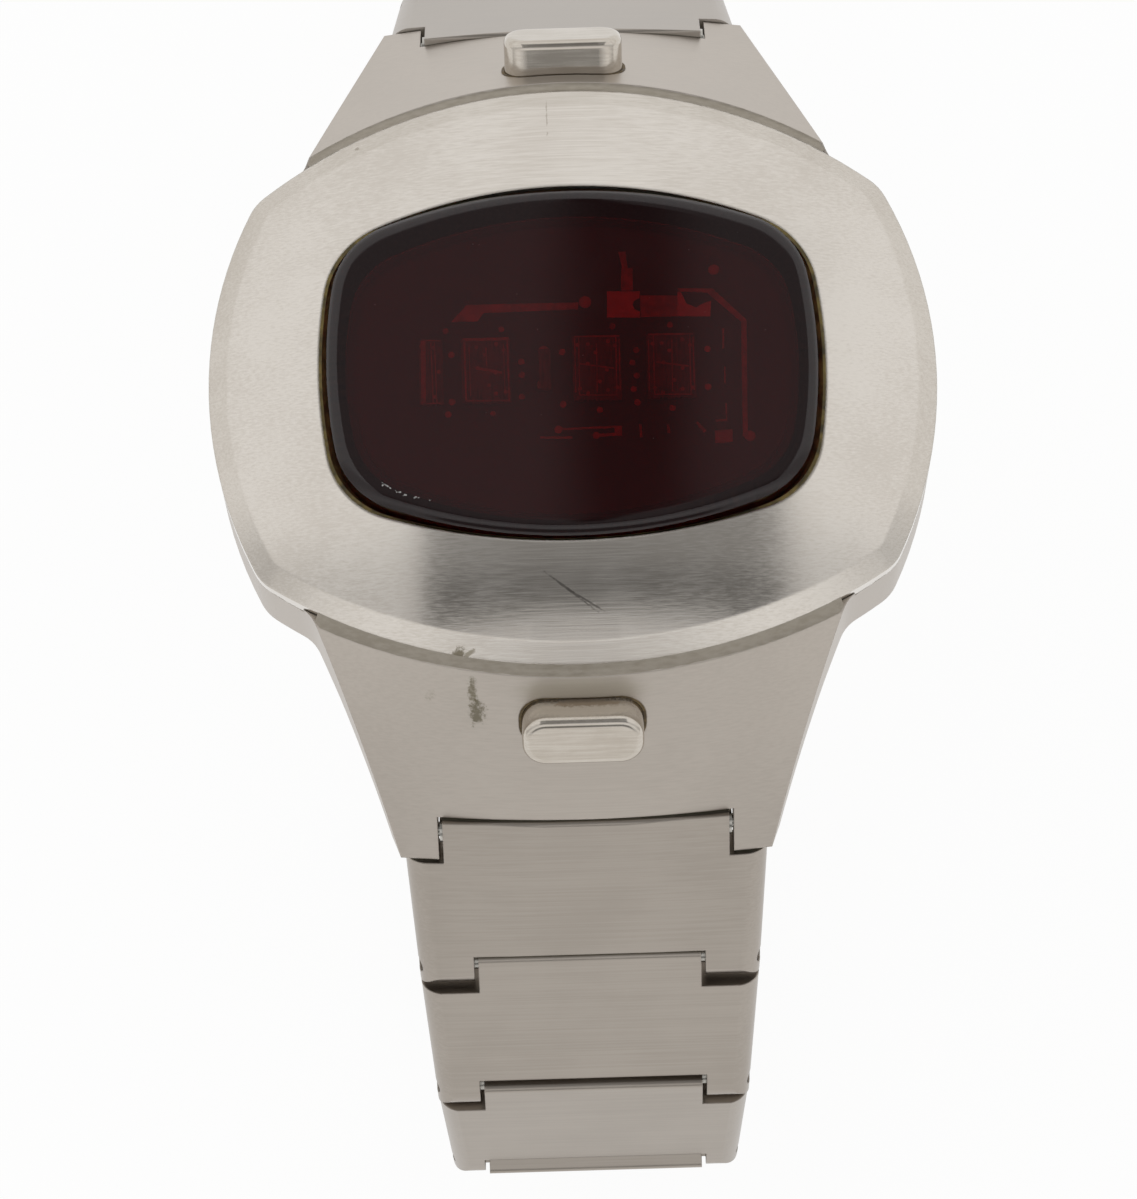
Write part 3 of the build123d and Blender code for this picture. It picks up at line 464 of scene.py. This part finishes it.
def makeFinish(name, v, mix):
    material, tree = startTree(name)
    place = addNode(tree, "ShaderNodeTexCoord").outputs["Object"]
    along = addNode(tree, "ShaderNodeMapping", inputs={
        "Vector": place, "Scale": [1 / (size * mm) for size in v["grain"]]}).outputs[0]
    grain = addNode(tree, "ShaderNodeTexNoise", inputs={
        "Vector": along, "Scale": 1.0, "Detail": 3.0, "Roughness": 0.6}).outputs[0]
    cloud = addNode(tree, "ShaderNodeTexNoise", inputs={
        "Vector": place, "Scale": 1 / (v["cloud"] * mm), "Detail": 4.0, "Roughness": 0.55}).outputs[0]
    grainPart = combine(tree, "MULTIPLY", grain, mix["grainShare"])
    mottle = combine(tree, "ADD", grainPart, combine(tree, "MULTIPLY", cloud, mix["cloudShare"]))
    share = ramp(tree, mottle, *mix["toneEdges"])
    colour = addNode(tree, "ShaderNodeMix", {"data_type": "RGBA"}, {
        0: share, 6: linearColour(v["tones"][0]), 7: linearColour(v["tones"][1])}).outputs[2]
    for spec in scratches.get(name, []):
        colour = mark(tree, place, colour, spec, mix)[1]
    covers = []
    for spec in marks.get(name, []):
        share, colour = mark(tree, place, colour, spec, mix)
        covers.append(share)
    # creases are darkened by how enclosed they are (ambient occlusion): dirt, and painted shade
    dirtAndShadeTone, dirtAndShadeStrength = v["creaseDirtAndShade"]
    crease = addNode(tree, "ShaderNodeAmbientOcclusion", {"samples": 4}, {
        "Distance": mix["creaseReach"] * mm}).outputs["AO"]
    dirtAndShadeShare = combine(tree, "MULTIPLY", ramp(tree, crease, *mix["creaseEdges"], 1, 0), dirtAndShadeStrength)
    colour = addNode(tree, "ShaderNodeMix", {"data_type": "RGBA"}, {
        0: dirtAndShadeShare, 6: colour, 7: linearColour(dirtAndShadeTone)}).outputs[2]
    cover = combine(tree, "MAXIMUM", dirtAndShadeShare, *covers)  # crease dirt and painted shade, stains and painted light patches aren't metal
    metal = combine(tree, "MULTIPLY", combine(tree, "SUBTRACT", 1.0, cover), v["metallic"])
    rough = ramp(tree, mottle, *mix["roughEdges"], *v["rough"])
    bumpInputs = {"Height": grain, "Strength": v["relief"], "Distance": v["depth"] * mm}
    if v["edge"]:  # edges of sheet and bar stock are broken by hand, so they catch the light softly
        bumpInputs["Normal"] = addNode(
            tree, "ShaderNodeBevel", {"samples": 4}, {"Radius": v["edge"] * mm}).outputs[0]
    bump = addNode(tree, "ShaderNodeBump", inputs=bumpInputs).outputs[0]
    shader = addNode(tree, "ShaderNodeBsdfPrincipled", inputs={
        "Base Color": colour, "Metallic": metal if v["metallic"] else 0.0,
        "Roughness": rough, "Normal": bump})
    addNode(tree, "ShaderNodeOutputMaterial", inputs={0: shader.outputs[0]})
    return material


# red filter glass of the window: ground and polished, dark from outside, clear red to the diodes
windowValues = {
    "red": "#AA1524", "clear": 0.985, "ior": 1.5,
    "rough": (0.015, 0.05), "haze": 7.0, "hazeEdges": (0.4, 0.7),
}


def makeWindowGlass(v):
    material, tree = startTree("polishedRedFilterGlass")
    place = addNode(tree, "ShaderNodeTexCoord").outputs["Object"]
    haze = addNode(tree, "ShaderNodeTexNoise", inputs={
        "Vector": place, "Scale": 1 / (v["haze"] * mm), "Detail": 5.0, "Roughness": 0.6}).outputs[0]
    rough = ramp(tree, haze, *v["hazeEdges"], *v["rough"])
    shader = addNode(tree, "ShaderNodeBsdfPrincipled", inputs={
        "Base Color": linearColour(v["red"]), "Roughness": rough, "IOR": v["ior"],
        "Transmission Weight": v["clear"]})
    addNode(tree, "ShaderNodeOutputMaterial", inputs={0: shader.outputs[0]})
    return material


# window: a cushion of red glass with a broad ground bevel, rounded towards its rim. The bows are how
# far the sides and the ends bulge, and "curve" is how fast the bevel falls.
windowShape = {
    "width": 26.7, "length": 19.75, "sideBow": 0.9, "endBow": 2.82, "corner": 4.5,
    "bevel": 0.85, "drop": 0.42, "curve": 3.0, "lip": 0.03,
    "bevelSteps": 10, "arcSteps": 26, "cornerSteps": 10, "sharpAngle": 35,
}


def barrelOutline(v, inset):  # an arc for each side and each end, joined by round corners
    halfX, halfY = v["width"] / 2 - inset, v["length"] / 2 - inset
    cornerX, cornerY = halfX - v["sideBow"], halfY - v["endBow"]
    radius = v["corner"] - inset / 2

    def arcThrough(half, chordHalf, bow):
        big = (chordHalf ** 2 + bow ** 2) / (2 * bow)
        return big, half - big

    endRadius, endMiddle = arcThrough(halfY, cornerX, v["endBow"])
    sideRadius, sideMiddle = arcThrough(halfX, cornerY, v["sideBow"])
    # a corner's middle is where two circles meet, round the middles of the two arcs beside it
    far = math.hypot(sideMiddle, endMiddle)
    a, b = endRadius - radius, sideRadius - radius
    ex, ey = -sideMiddle / far, endMiddle / far
    alongLine = (b * b - a * a + far * far) / (2 * far)
    height = math.sqrt(max(b * b - alongLine ** 2, 0))
    baseX, baseY = sideMiddle + ex * alongLine, ey * alongLine
    options = [(baseX + ey * height, baseY - ex * height), (baseX - ey * height, baseY + ex * height)]
    middle = max(options, key=lambda p: p[0] + p[1])
    turnEnd = math.atan2(middle[1] - endMiddle, middle[0])
    turnSide = math.atan2(middle[1], middle[0] - sideMiddle)
    quarter = []
    for i in range(v["arcSteps"] // 2 + 1):
        turn = turnSide * i / (v["arcSteps"] // 2)
        quarter.append((sideMiddle + sideRadius * math.cos(turn), sideRadius * math.sin(turn)))
    for i in range(1, v["cornerSteps"]):
        turn = turnSide + (turnEnd - turnSide) * i / v["cornerSteps"]
        quarter.append((middle[0] + radius * math.cos(turn), middle[1] + radius * math.sin(turn)))
    for i in range(v["arcSteps"] + 1):
        turn = turnEnd + (math.pi / 2 - turnEnd) * i / v["arcSteps"]
        quarter.append((endRadius * math.cos(turn), endMiddle + endRadius * math.sin(turn)))
    half = quarter + [(-x, y) for x, y in reversed(quarter[:-1])]
    return half[:-1] + [(-x, -y) for x, y in half[:-1]]


def makeWindow(v, material):
    low, high = lensLow.z, lensHigh.z
    rings = [(0.0, low), (0.0, high - v["drop"] * mm)]
    for i in range(1, v["bevelSteps"] + 1):  # steep at the rim, nearly flat where it meets the face
        left = 1 - i / v["bevelSteps"]
        fall = (v["drop"] - v["lip"]) * left ** v["curve"] + v["lip"] * left
        rings.append((v["bevel"] * (1 - left), high - fall * mm))
    shape = bmesh.new()
    loops = []
    for inset, z in rings:
        loops.append([shape.verts.new((x * mm, y * mm, z)) for x, y in barrelOutline(v, inset)])
    for lower, upper in zip(loops, loops[1:]):
        bridgeLoops(shape, lower, upper)
    shape.faces.new(list(reversed(loops[0])))
    shape.faces.new(loops[-1])
    piece = meshPiece("windowGlass", shape, material)
    piece.data.set_sharp_from_angle(angle=math.radians(v["sharpAngle"]))
    for polygon in piece.data.polygons:
        polygon.use_smooth = len(polygon.vertices) == 4  # the two flat faces stay flat
    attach(piece, "head")
    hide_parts("display_lens")
    print("window ready,", len(piece.data.polygons), "faces")


# window ring: the visible top of the rubber that the window is pressed into. Its outer edge lies
# just below the dome beside it, and its inner edge dips towards the glass.
ringValues = {
    "width": 27.3, "length": 19.95, "sideBow": 0.9, "endBow": 2.85, "corner": 4.6,
    "arcSteps": 26, "cornerSteps": 10,
    "slack": 0.01, "beside": 0.5, "below": 0.05, "dip": 0.35, "deep": 0.8,
}


def makeWindowRing(v, window, material):
    dome = nodeShell("dome_bezel")
    shape = bmesh.new()
    rows = []
    for (x, y), (innerX, innerY) in zip(barrelOutline(v, 0), barrelOutline(window, -v["slack"])):
        far = Vector((x, y)) + Vector((x, y)).normalized() * v["beside"]
        top = heightOn(dome, far.x, far.y) - v["below"]
        bottom = top - v["deep"]
        corners = [(x, y, top), (x, y, bottom), (innerX, innerY, bottom), (innerX, innerY, top - v["dip"])]
        rows.append([shape.verts.new([c * mm for c in corner]) for corner in corners])
    for before, after in zip(rows, rows[1:] + rows[:1]):
        bridgeLoops(shape, before, after)
    piece = meshPiece("windowRing", shape, material)
    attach(piece, "head")
    print("window ring ready,", len(piece.data.polygons), "faces")


# display plate: gold on the ceramic, from the watch's middle. Areas and plates are outlines of foil,
# and pads are bonding spots with their radius.
trackValues = {
    "height": 0.03, "padHeight": 0.05,
    "areas": [
        [(3.82, 2.9), (5.83, 2.88), (5.87, 4.07), (3.84, 4.14)],
        [(5.89, 4.3), (7.5, 4.2), (9.3, 2.45), (9.5, 2.5), (9.62, 2.54), (7.8, 4.42), (5.89, 4.5)],
        [(9.3, 2.5), (9.16, -4.1), (9.42, -4.2), (9.6, 2.5)],
        [(2.85, 5.75), (3.45, 5.75), (3.45, 4.45), (2.8, 4.45)],
        [(2.7, 6.7), (3.1, 6.7), (3.2, 5.75), (2.9, 5.75)],
        [(-6.54, 2.93), (-5.1, 2.93), (-4.75, 3.4), (0.4, 3.45), (0.45, 3.84), (-5.69, 3.89)],
        [(-1.0, -3.46), (2.2, -3.42), (2.2, -3.3), (-1.0, -3.34)],
        [(1.0, -3.9), (2.6, -3.86), (2.6, -3.3), (2.2, -3.3), (2.2, -3.7), (1.0, -3.74)],
        [(-1.86, -3.9), (-0.1, -3.96), (-0.1, -3.84), (-1.86, -3.78)],
        [(3.55, -3.25), (3.68, -3.25), (3.7, -4.0), (3.57, -4.0)],
        [(5.05, -3.3), (5.18, -3.3), (5.22, -3.8), (5.08, -3.8)],
        [(6.6, -3.25), (6.75, -3.2), (7.2, -3.75), (7.05, -3.85)],
        [(7.65, -3.75), (8.6, -3.7), (8.6, -4.4), (7.65, -4.45)],
        [(8.26, 2.1), (8.36, 2.1), (8.32, 0.95), (8.22, 0.95)],
        [(8.28, -0.1), (8.36, -0.1), (8.33, -1.05), (8.25, -1.05)],
        [(7.7, -3.1), (8.27, -3.1), (8.27, -2.2), (8.35, -2.2), (8.35, -3.22), (7.7, -3.22)],
        [(-1.62, 0.66), (-1.45, 0.66), (-1.5, -0.6), (-1.68, -0.6)],
    ],
    "plates": [
        [(1.98, 2.93), (3.78, 2.87), (3.79, 3.2), (3.5, 3.35), (3.4, 3.6), (3.5, 3.85), (3.79, 4.0),
         (3.83, 4.38), (2.03, 4.44)],
        [(5.83, 2.88), (7.63, 2.82), (7.7, 3.7), (7.3, 3.6), (6.85, 3.35), (6.35, 3.6), (6.1, 4.2),
         (5.89, 4.46)],
    ],
    "pads": [
        (-6.86, 2.41, 0.17), (-3.81, 2.42, 0.16), (-6.58, 1.03, 0.18), (-6.6, -1.66, 0.19),
        (-6.83, -2.37, 0.18), (-4.38, -2.4, 0.15), (-2.77, 0.53, 0.18), (-2.76, -0.23, 0.18),
        (-2.79, -1.48, 0.17), (-0.53, 1.02, 0.18), (-0.55, -1.99, 0.18), (1.44, -2.37, 0.17),
        (3.52, 1.0, 0.17), (3.29, 0.28, 0.17), (3.5, -0.47, 0.17), (3.31, -1.23, 0.17),
        (3.49, -2.0, 0.18), (5.39, -2.38, 0.17), (2.26, 2.41, 0.17), (5.41, 2.39, 0.17),
        (7.41, 0.94, 0.18), (7.37, -1.24, 0.19), (-1.53, 1.1, 0.3), (-1.65, -0.82, 0.3),
        (0.81, 3.85, 0.34), (9.55, -4.1, 0.3), (7.91, 5.5, 0.3), (-0.85, -3.42, 0.22),
        (1.2, -3.82, 0.2),
    ],
}


def flatPiece(name, outlines, low, high, material):
    shape = bmesh.new()
    for outline in outlines:
        bottom = [shape.verts.new((x * mm, y * mm, low)) for x, y in outline]
        top = [shape.verts.new((x * mm, y * mm, high)) for x, y in outline]
        shape.faces.new(top)
        shape.faces.new(list(reversed(bottom)))
        bridgeLoops(shape, bottom, top)
    return meshPiece(name, shape, material)


def makeTracks(v, material, burnished):
    layers = (("displayTracks", v["areas"], material), ("displayPlates", v["plates"], burnished))
    for name, outlines, finish in layers:
        piece = flatPiece(name, outlines, ceramicTop, ceramicTop + v["height"] * mm, finish)
        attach(piece, "head")
        print(name, "ready,", len(outlines), "areas")


# diode lines: what the sawn dies show of their segments, as strips from point to point with their
# width. Dots are the wire bonds on the dies.
diodeValues = {
    "height": 0.02, "dotHeight": 0.04, "dotSize": 0.11,
    "strips": [
        (-8.1, 1.86, -8.14, -1.83, 0.26), (-7.68, 1.7, -7.62, -1.78, 0.05), (-7.48, 1.7, -7.42, -1.78, 0.05),
        (-8.2, 1.85, -7.15, 1.78, 0.07), (-8.1, -1.8, -7.2, -1.78, 0.06),
        (-5.95, 1.8, -3.42, 1.8, 0.16), (-5.85, 1.8, -5.82, -1.7, 0.1), (-3.5, 1.8, -3.47, -1.7, 0.09),
        (-5.82, -1.7, -3.45, -1.75, 0.09), (-5.2, 0.15, -3.85, -0.14, 0.14), (-4.68, 1.3, -4.66, 0.3, 0.07),
        (-5.6, 1.5, -5.58, -1.45, 0.04), (-3.72, 1.5, -3.7, -1.45, 0.04),
        (0.14, 1.8, 2.62, 1.76, 0.08), (0.4, 1.8, 0.36, -1.55, 0.06), (0.18, 1.7, 0.16, -1.4, 0.06),
        (2.42, 1.75, 2.38, -1.6, 0.06), (2.6, 1.6, 2.58, -1.35, 0.06), (0.36, -1.56, 2.4, -1.62, 0.06),
        (0.43, 0.23, 2.26, -0.08, 0.08), (1.36, 1.35, 1.32, -1.45, 0.05),
        (4.2, 1.8, 6.65, 1.76, 0.09), (4.48, 1.8, 4.44, -1.65, 0.06), (4.2, 1.5, 4.17, -1.4, 0.05),
        (6.46, 1.75, 6.42, -1.7, 0.06), (6.64, 1.6, 6.62, -1.45, 0.06), (4.44, -1.64, 6.44, -1.7, 0.06),
        (4.59, 0.2, 6.35, -0.08, 0.09), (5.48, 1.44, 5.42, -1.5, 0.05),
    ],
    "dots": [
        (-5.2, 1.34), (-4.11, 1.5), (-4.76, 0.9), (-5.16, 0.15), (-4.19, -0.15), (-4.55, -0.86),
        (-4.18, -1.34), (-3.66, -1.26), (-3.71, 1.15), (-8.2, 1.5), (-7.55, 1.39), (-7.28, 0.0),
        (-7.52, -1.43),
        (0.32, 1.31), (0.9, 1.34), (1.99, 1.48), (2.37, 1.22), (1.29, 0.85), (0.86, 0.22), (1.89, -0.17),
        (1.49, -0.81), (1.91, -1.32), (2.43, -1.19), (0.39, -1.2), (0.82, -1.46),
        (4.42, 1.26), (4.92, 1.28), (6.06, 1.46), (6.46, 1.12), (5.33, 0.84), (4.99, 0.16), (6.01, -0.19),
        (5.55, -0.86), (5.97, -1.38), (6.51, -1.32), (4.47, -1.29), (4.9, -1.56),
    ],
}


def makeDiodeLines(v, material):
    outlines = []
    for x1, y1, x2, y2, width in v["strips"]:
        way = Vector((x2 - x1, y2 - y1)).normalized()
        side = Vector((-way.y, way.x)) * width / 2
        ends = [Vector((x1, y1)), Vector((x2, y2))]
        outlines.append([ends[0] - side, ends[1] - side, ends[1] + side, ends[0] + side])
    piece = flatPiece("diodeLines", outlines, dieTop, dieTop + v["height"] * mm, material)
    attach(piece, "head")
    print("diode lines ready,", len(outlines), "strips")


def padTree():  # a flat disc on each point, as wide as the point's own radius
    tree = bpy.data.node_groups.new("bondPads", "GeometryNodeTree")
    face = tree.interface
    face.new_socket("Geometry", in_out="INPUT", socket_type="NodeSocketGeometry")
    face.new_socket("Height", in_out="INPUT", socket_type="NodeSocketFloat")
    face.new_socket("Material", in_out="INPUT", socket_type="NodeSocketMaterial")
    face.new_socket("Geometry", in_out="OUTPUT", socket_type="NodeSocketGeometry")
    start = addNode(tree, "NodeGroupInput")
    end = addNode(tree, "NodeGroupOutput")
    disc = addNode(tree, "GeometryNodeMeshCylinder", {"fill_type": "NGON"}, {
        "Vertices": 14, "Radius": 1.0, "Depth": start.outputs["Height"]})
    size = addNode(tree, "GeometryNodeInputNamedAttribute", {"data_type": "FLOAT"}, {"Name": "padRadius"})
    both = addNode(tree, "ShaderNodeCombineXYZ", inputs={0: size.outputs[0], 1: size.outputs[0], 2: 1.0})
    spread = addNode(tree, "GeometryNodeInstanceOnPoints", inputs={
        "Points": start.outputs["Geometry"], "Instance": disc.outputs["Mesh"], "Scale": both.outputs[0]})
    real = addNode(tree, "GeometryNodeRealizeInstances", inputs={0: spread.outputs[0]})
    painted = addNode(tree, "GeometryNodeSetMaterial", inputs={
        "Geometry": real.outputs[0], "Material": start.outputs["Material"]})
    tree.links.new(painted.outputs[0], end.inputs[0])
    return tree


def makePads(name, places, low, height, material):
    mesh = bpy.data.meshes.new(name + "Points")
    mesh.from_pydata([(x * mm, y * mm, low + height * mm / 2) for x, y, radius in places], [], [])
    sizes = mesh.attributes.new("padRadius", "FLOAT", "POINT")
    for i, (x, y, radius) in enumerate(places):
        sizes.data[i].value = radius * mm
    source = bpy.data.objects.new(name + "Points", mesh)
    bpy.context.scene.collection.objects.link(source)
    modifier = source.modifiers.new("bondPads", "NODES")
    modifier.node_group = bpy.data.node_groups.get("bondPads") or padTree()
    sockets = {
        s.name: s.identifier for s in modifier.node_group.interface.items_tree if s.in_out == "INPUT"}
    modifier[sockets["Height"]] = height * mm
    modifier[sockets["Material"]] = material
    bpy.context.view_layer.update()
    graph = bpy.context.evaluated_depsgraph_get()
    made = bpy.data.meshes.new_from_object(source.evaluated_get(graph), depsgraph=graph)
    made.name = name
    bpy.data.objects.remove(source)
    piece = bpy.data.objects.new(name, made)
    bpy.context.scene.collection.objects.link(piece)
    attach(piece, "head")
    print(name, "ready,", len(made.polygons), "faces")


# groove under the rim: a hollow strip from the dome's rim to the ridge of each flank. The ridge is
# the flank's highest point in the "search" beside the rim, which has "searchSteps" steps to the
# millimetre. The strip stops where the ridge lies more than "endDrop" below the rim.
coveValues = {
    "length": 33.0, "bow": 5.6, "halfChord": 17.3, "reach": 14.6, "steps": 72, "across": 8,
    "hollow": 0.13, "rimInset": 0.03, "search": (4, 18), "searchSteps": 20, "endDrop": 0.9,
    "lap": 0.02, "ridgeDeep": 0.3, "rimDeep": 0.6, "sharpAngle": 40,
}


def makeCove(v, material):
    dome, case = nodeShell("dome_bezel"), nodeShell("mid_case")
    radius = (v["halfChord"] ** 2 + v["bow"] ** 2) / (2 * v["bow"])
    middle = v["length"] / 2 - radius
    shape = bmesh.new()
    for side in (1, -1):
        rows = []
        for i in range(v["steps"] + 1):
            x = v["reach"] * (2 * i / v["steps"] - 1)
            rimY = middle + math.sqrt(radius ** 2 - x ** 2)
            out = Vector((x / radius, (rimY - middle) / radius))
            inset = v["rimInset"]
            rimZ = heightOn(dome, x - out.x * inset, side * (rimY - out.y * inset))
            found = []
            for step in range(*v["search"]):
                far = step / v["searchSteps"]
                z = heightOn(case, x + out.x * far, side * (rimY + out.y * far))
                if z is not None:
                    found.append((z, far))
            if not found or max(found)[0] < rimZ - v["endDrop"]:
                continue
            ridgeZ, wide = max(found)
            loop = []
            for j in range(v["across"] + 1):
                share = j / v["across"]
                drop = v["hollow"] * 4 * share * (1 - share)
                loop.append((share * wide, rimZ - v["lap"] + (ridgeZ + v["lap"] - rimZ) * share - drop))
            loop += [(wide, ridgeZ - v["ridgeDeep"]), (0.0, rimZ - v["rimDeep"])]
            rows.append([
                shape.verts.new(((x + out.x * far) * mm, side * (rimY + out.y * far) * mm, z * mm))
                for far, z in loop])
        for before, after in zip(rows, rows[1:]):
            bridgeLoops(shape, before, after)
        shape.faces.new(rows[0])
        shape.faces.new(list(reversed(rows[-1])))
    piece = meshPiece("rimGroove", shape, material)
    for polygon in piece.data.polygons:
        polygon.use_smooth = True
    piece.data.set_sharp_from_angle(angle=math.radians(v["sharpAngle"]))
    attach(piece, "head")
    print("groove ready,", len(piece.data.polygons), "faces")


# grime packed in the slot round each button: old polish and skin grease, nearly dry. y and z are
# where the button meets its flank, and the flank's slope is in degrees.
grimeValues = {
    "y": 19.018, "z": 49.046, "slope": 52.0, "halfWide": 3.3, "halfLong": 1.525, "corner": 1.3,
    "inner": 0.02, "outer": 0.16, "top": -0.13, "bottom": -0.45, "cornerSteps": 8,
}


def makeSlotGrime(v, material):
    slope = math.radians(v["slope"])
    wide, long = v["halfWide"] - v["corner"], v["halfLong"] - v["corner"]
    shape = bmesh.new()
    for side in (1, -1):
        down = Vector((0, side * math.cos(slope), -math.sin(slope)))
        out = Vector((0, side * math.sin(slope), math.cos(slope)))
        middle = Vector((0, side * v["y"], v["z"]))
        loops = []
        for grow, depth in (("inner", "bottom"), ("inner", "top"), ("outer", "top"), ("outer", "bottom")):
            radius = v["corner"] + v[grow]
            loop = []
            for cornerTurn, (a, b) in enumerate(((1, 1), (-1, 1), (-1, -1), (1, -1))):
                for i in range(v["cornerSteps"] + 1):
                    turn = math.pi / 2 * (cornerTurn + i / v["cornerSteps"])
                    across = a * wide + radius * math.cos(turn)
                    along = b * long + radius * math.sin(turn)
                    place = middle + Vector((across, 0, 0)) + down * along + out * v[depth]
                    loop.append(shape.verts.new(place * mm))
            loops.append(loop)
        for before, after in zip(loops, loops[1:] + loops[:1]):
            bridgeLoops(shape, before, after)
    piece = meshPiece("slotGrime", shape, material)
    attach(piece, "head")
    print("slot grime ready,", len(piece.data.polygons), "faces")


# specks on the window: chips of its edge at the lower left, and dust on its face
speckValues = {
    "size": (0.02, 0.05), "height": 0.012, "seed": 12,
    "dust": 16, "dustSize": (0.5, 1.0), "dustWide": (-11, 11), "dustLong": (-6.5, 7.5),
    "chips": 26, "spread": (0.04, 0.05), "endGap": 0.001,
    "chipPath": [(-10.4, -6.7), (-9.9, -7.1), (-9.2, -7.45), (-8.5, -7.62), (-7.8, -7.75)],
}


def makeSpecks(v, material):
    chance = random.Random(v["seed"])
    places = []
    last = len(v["chipPath"]) - 1
    for i in range(v["chips"]):
        along = chance.uniform(0, last - v["endGap"])  # never quite at the path's last point
        a, b = v["chipPath"][int(along)], v["chipPath"][int(along) + 1]
        share = along - int(along)
        places.append((
            a[0] + (b[0] - a[0]) * share + chance.gauss(0, v["spread"][0]),
            a[1] + (b[1] - a[1]) * share + chance.gauss(0, v["spread"][1]),
            chance.uniform(*v["size"])))
    for i in range(v["dust"]):
        places.append((
            chance.uniform(*v["dustWide"]), chance.uniform(*v["dustLong"]),
            v["size"][0] * chance.uniform(*v["dustSize"])))
    makePads("windowSpecks", places, lensHigh.z - v["height"] * mm, v["height"], material)


# which finish each slot of the record takes, and the three nodes that have a finish of their own
slotFinish = {
    "brushed_steel": "satinLinkSteel", "polished_steel": "polishedSteel", "pin_steel": "drawnSteelWire",
    "gasket_rubber": "agedWindowRubber", "module_plastic": "mouldedNylon", "ceramic_dark": "firedAlumina",
    "led_chip": "sawnDiodeCrystal", "board_laminate": "epoxyBoard", "chip_package": "mouldedChipEpoxy",
    "can_metal": "tinnedCan", "reed_glass": "drawnReedGlass", "contact_brass": "rolledBrass",
    "cell_steel": "platedCellCan", "seal_rubber": "greasedSealRubber", "magnet_metal": "sinteredMagnet",
}
nodeFinish = {"dome_bezel": "beltGroundSteel", "mid_case": "satinSteel", "case_back": "satinSteel"}


def dressNodes(finished, glass):
    slotOf = {row["node"]: row["material_slot"] for row in frame["record"]["subparts"]}
    for name, node in nodes.items():
        node.data.materials.clear()
        if name == "display_lens":
            node.data.materials.append(glass)
            continue
        key = nodeFinish.get(name) or slotFinish[slotOf[name]]
        node.data.materials.append(finished[key])
    print("nodes dressed:", len(nodes))


bpy.context.scene.view_settings.view_transform = "Standard"
makeCamera(cameraValues)
makeWorld(studioValues)
makeLamp(lampValues)
makeTable(tableValues)
finished = {name: makeFinish(name, v, patternMix) for name, v in finishes.items()}
print("finishes ready:", len(finished))
glass = makeWindowGlass(windowValues)
dressNodes(finished, glass)
makeWindow(windowShape, glass)
makeWindowRing(ringValues, windowShape, finished["agedWindowRubber"])
makeTracks(trackValues, finished["goldPlatedTrack"], finished["burnishedGoldPlate"])
makeDiodeLines(diodeValues, finished["goldPlatedTrack"])
makePads("bondPads", trackValues["pads"], ceramicTop, trackValues["padHeight"], finished["goldPlatedTrack"])
dots = [(x, y, diodeValues["dotSize"]) for x, y in diodeValues["dots"]]
makePads("diodePads", dots, dieTop, diodeValues["dotHeight"], finished["goldPlatedTrack"])
makeCove(coveValues, finished["grooveSteelPolishAndShade"])
makeSlotGrime(grimeValues, finished["driedGrime"])
makeSpecks(speckValues, finished["paleLint"])
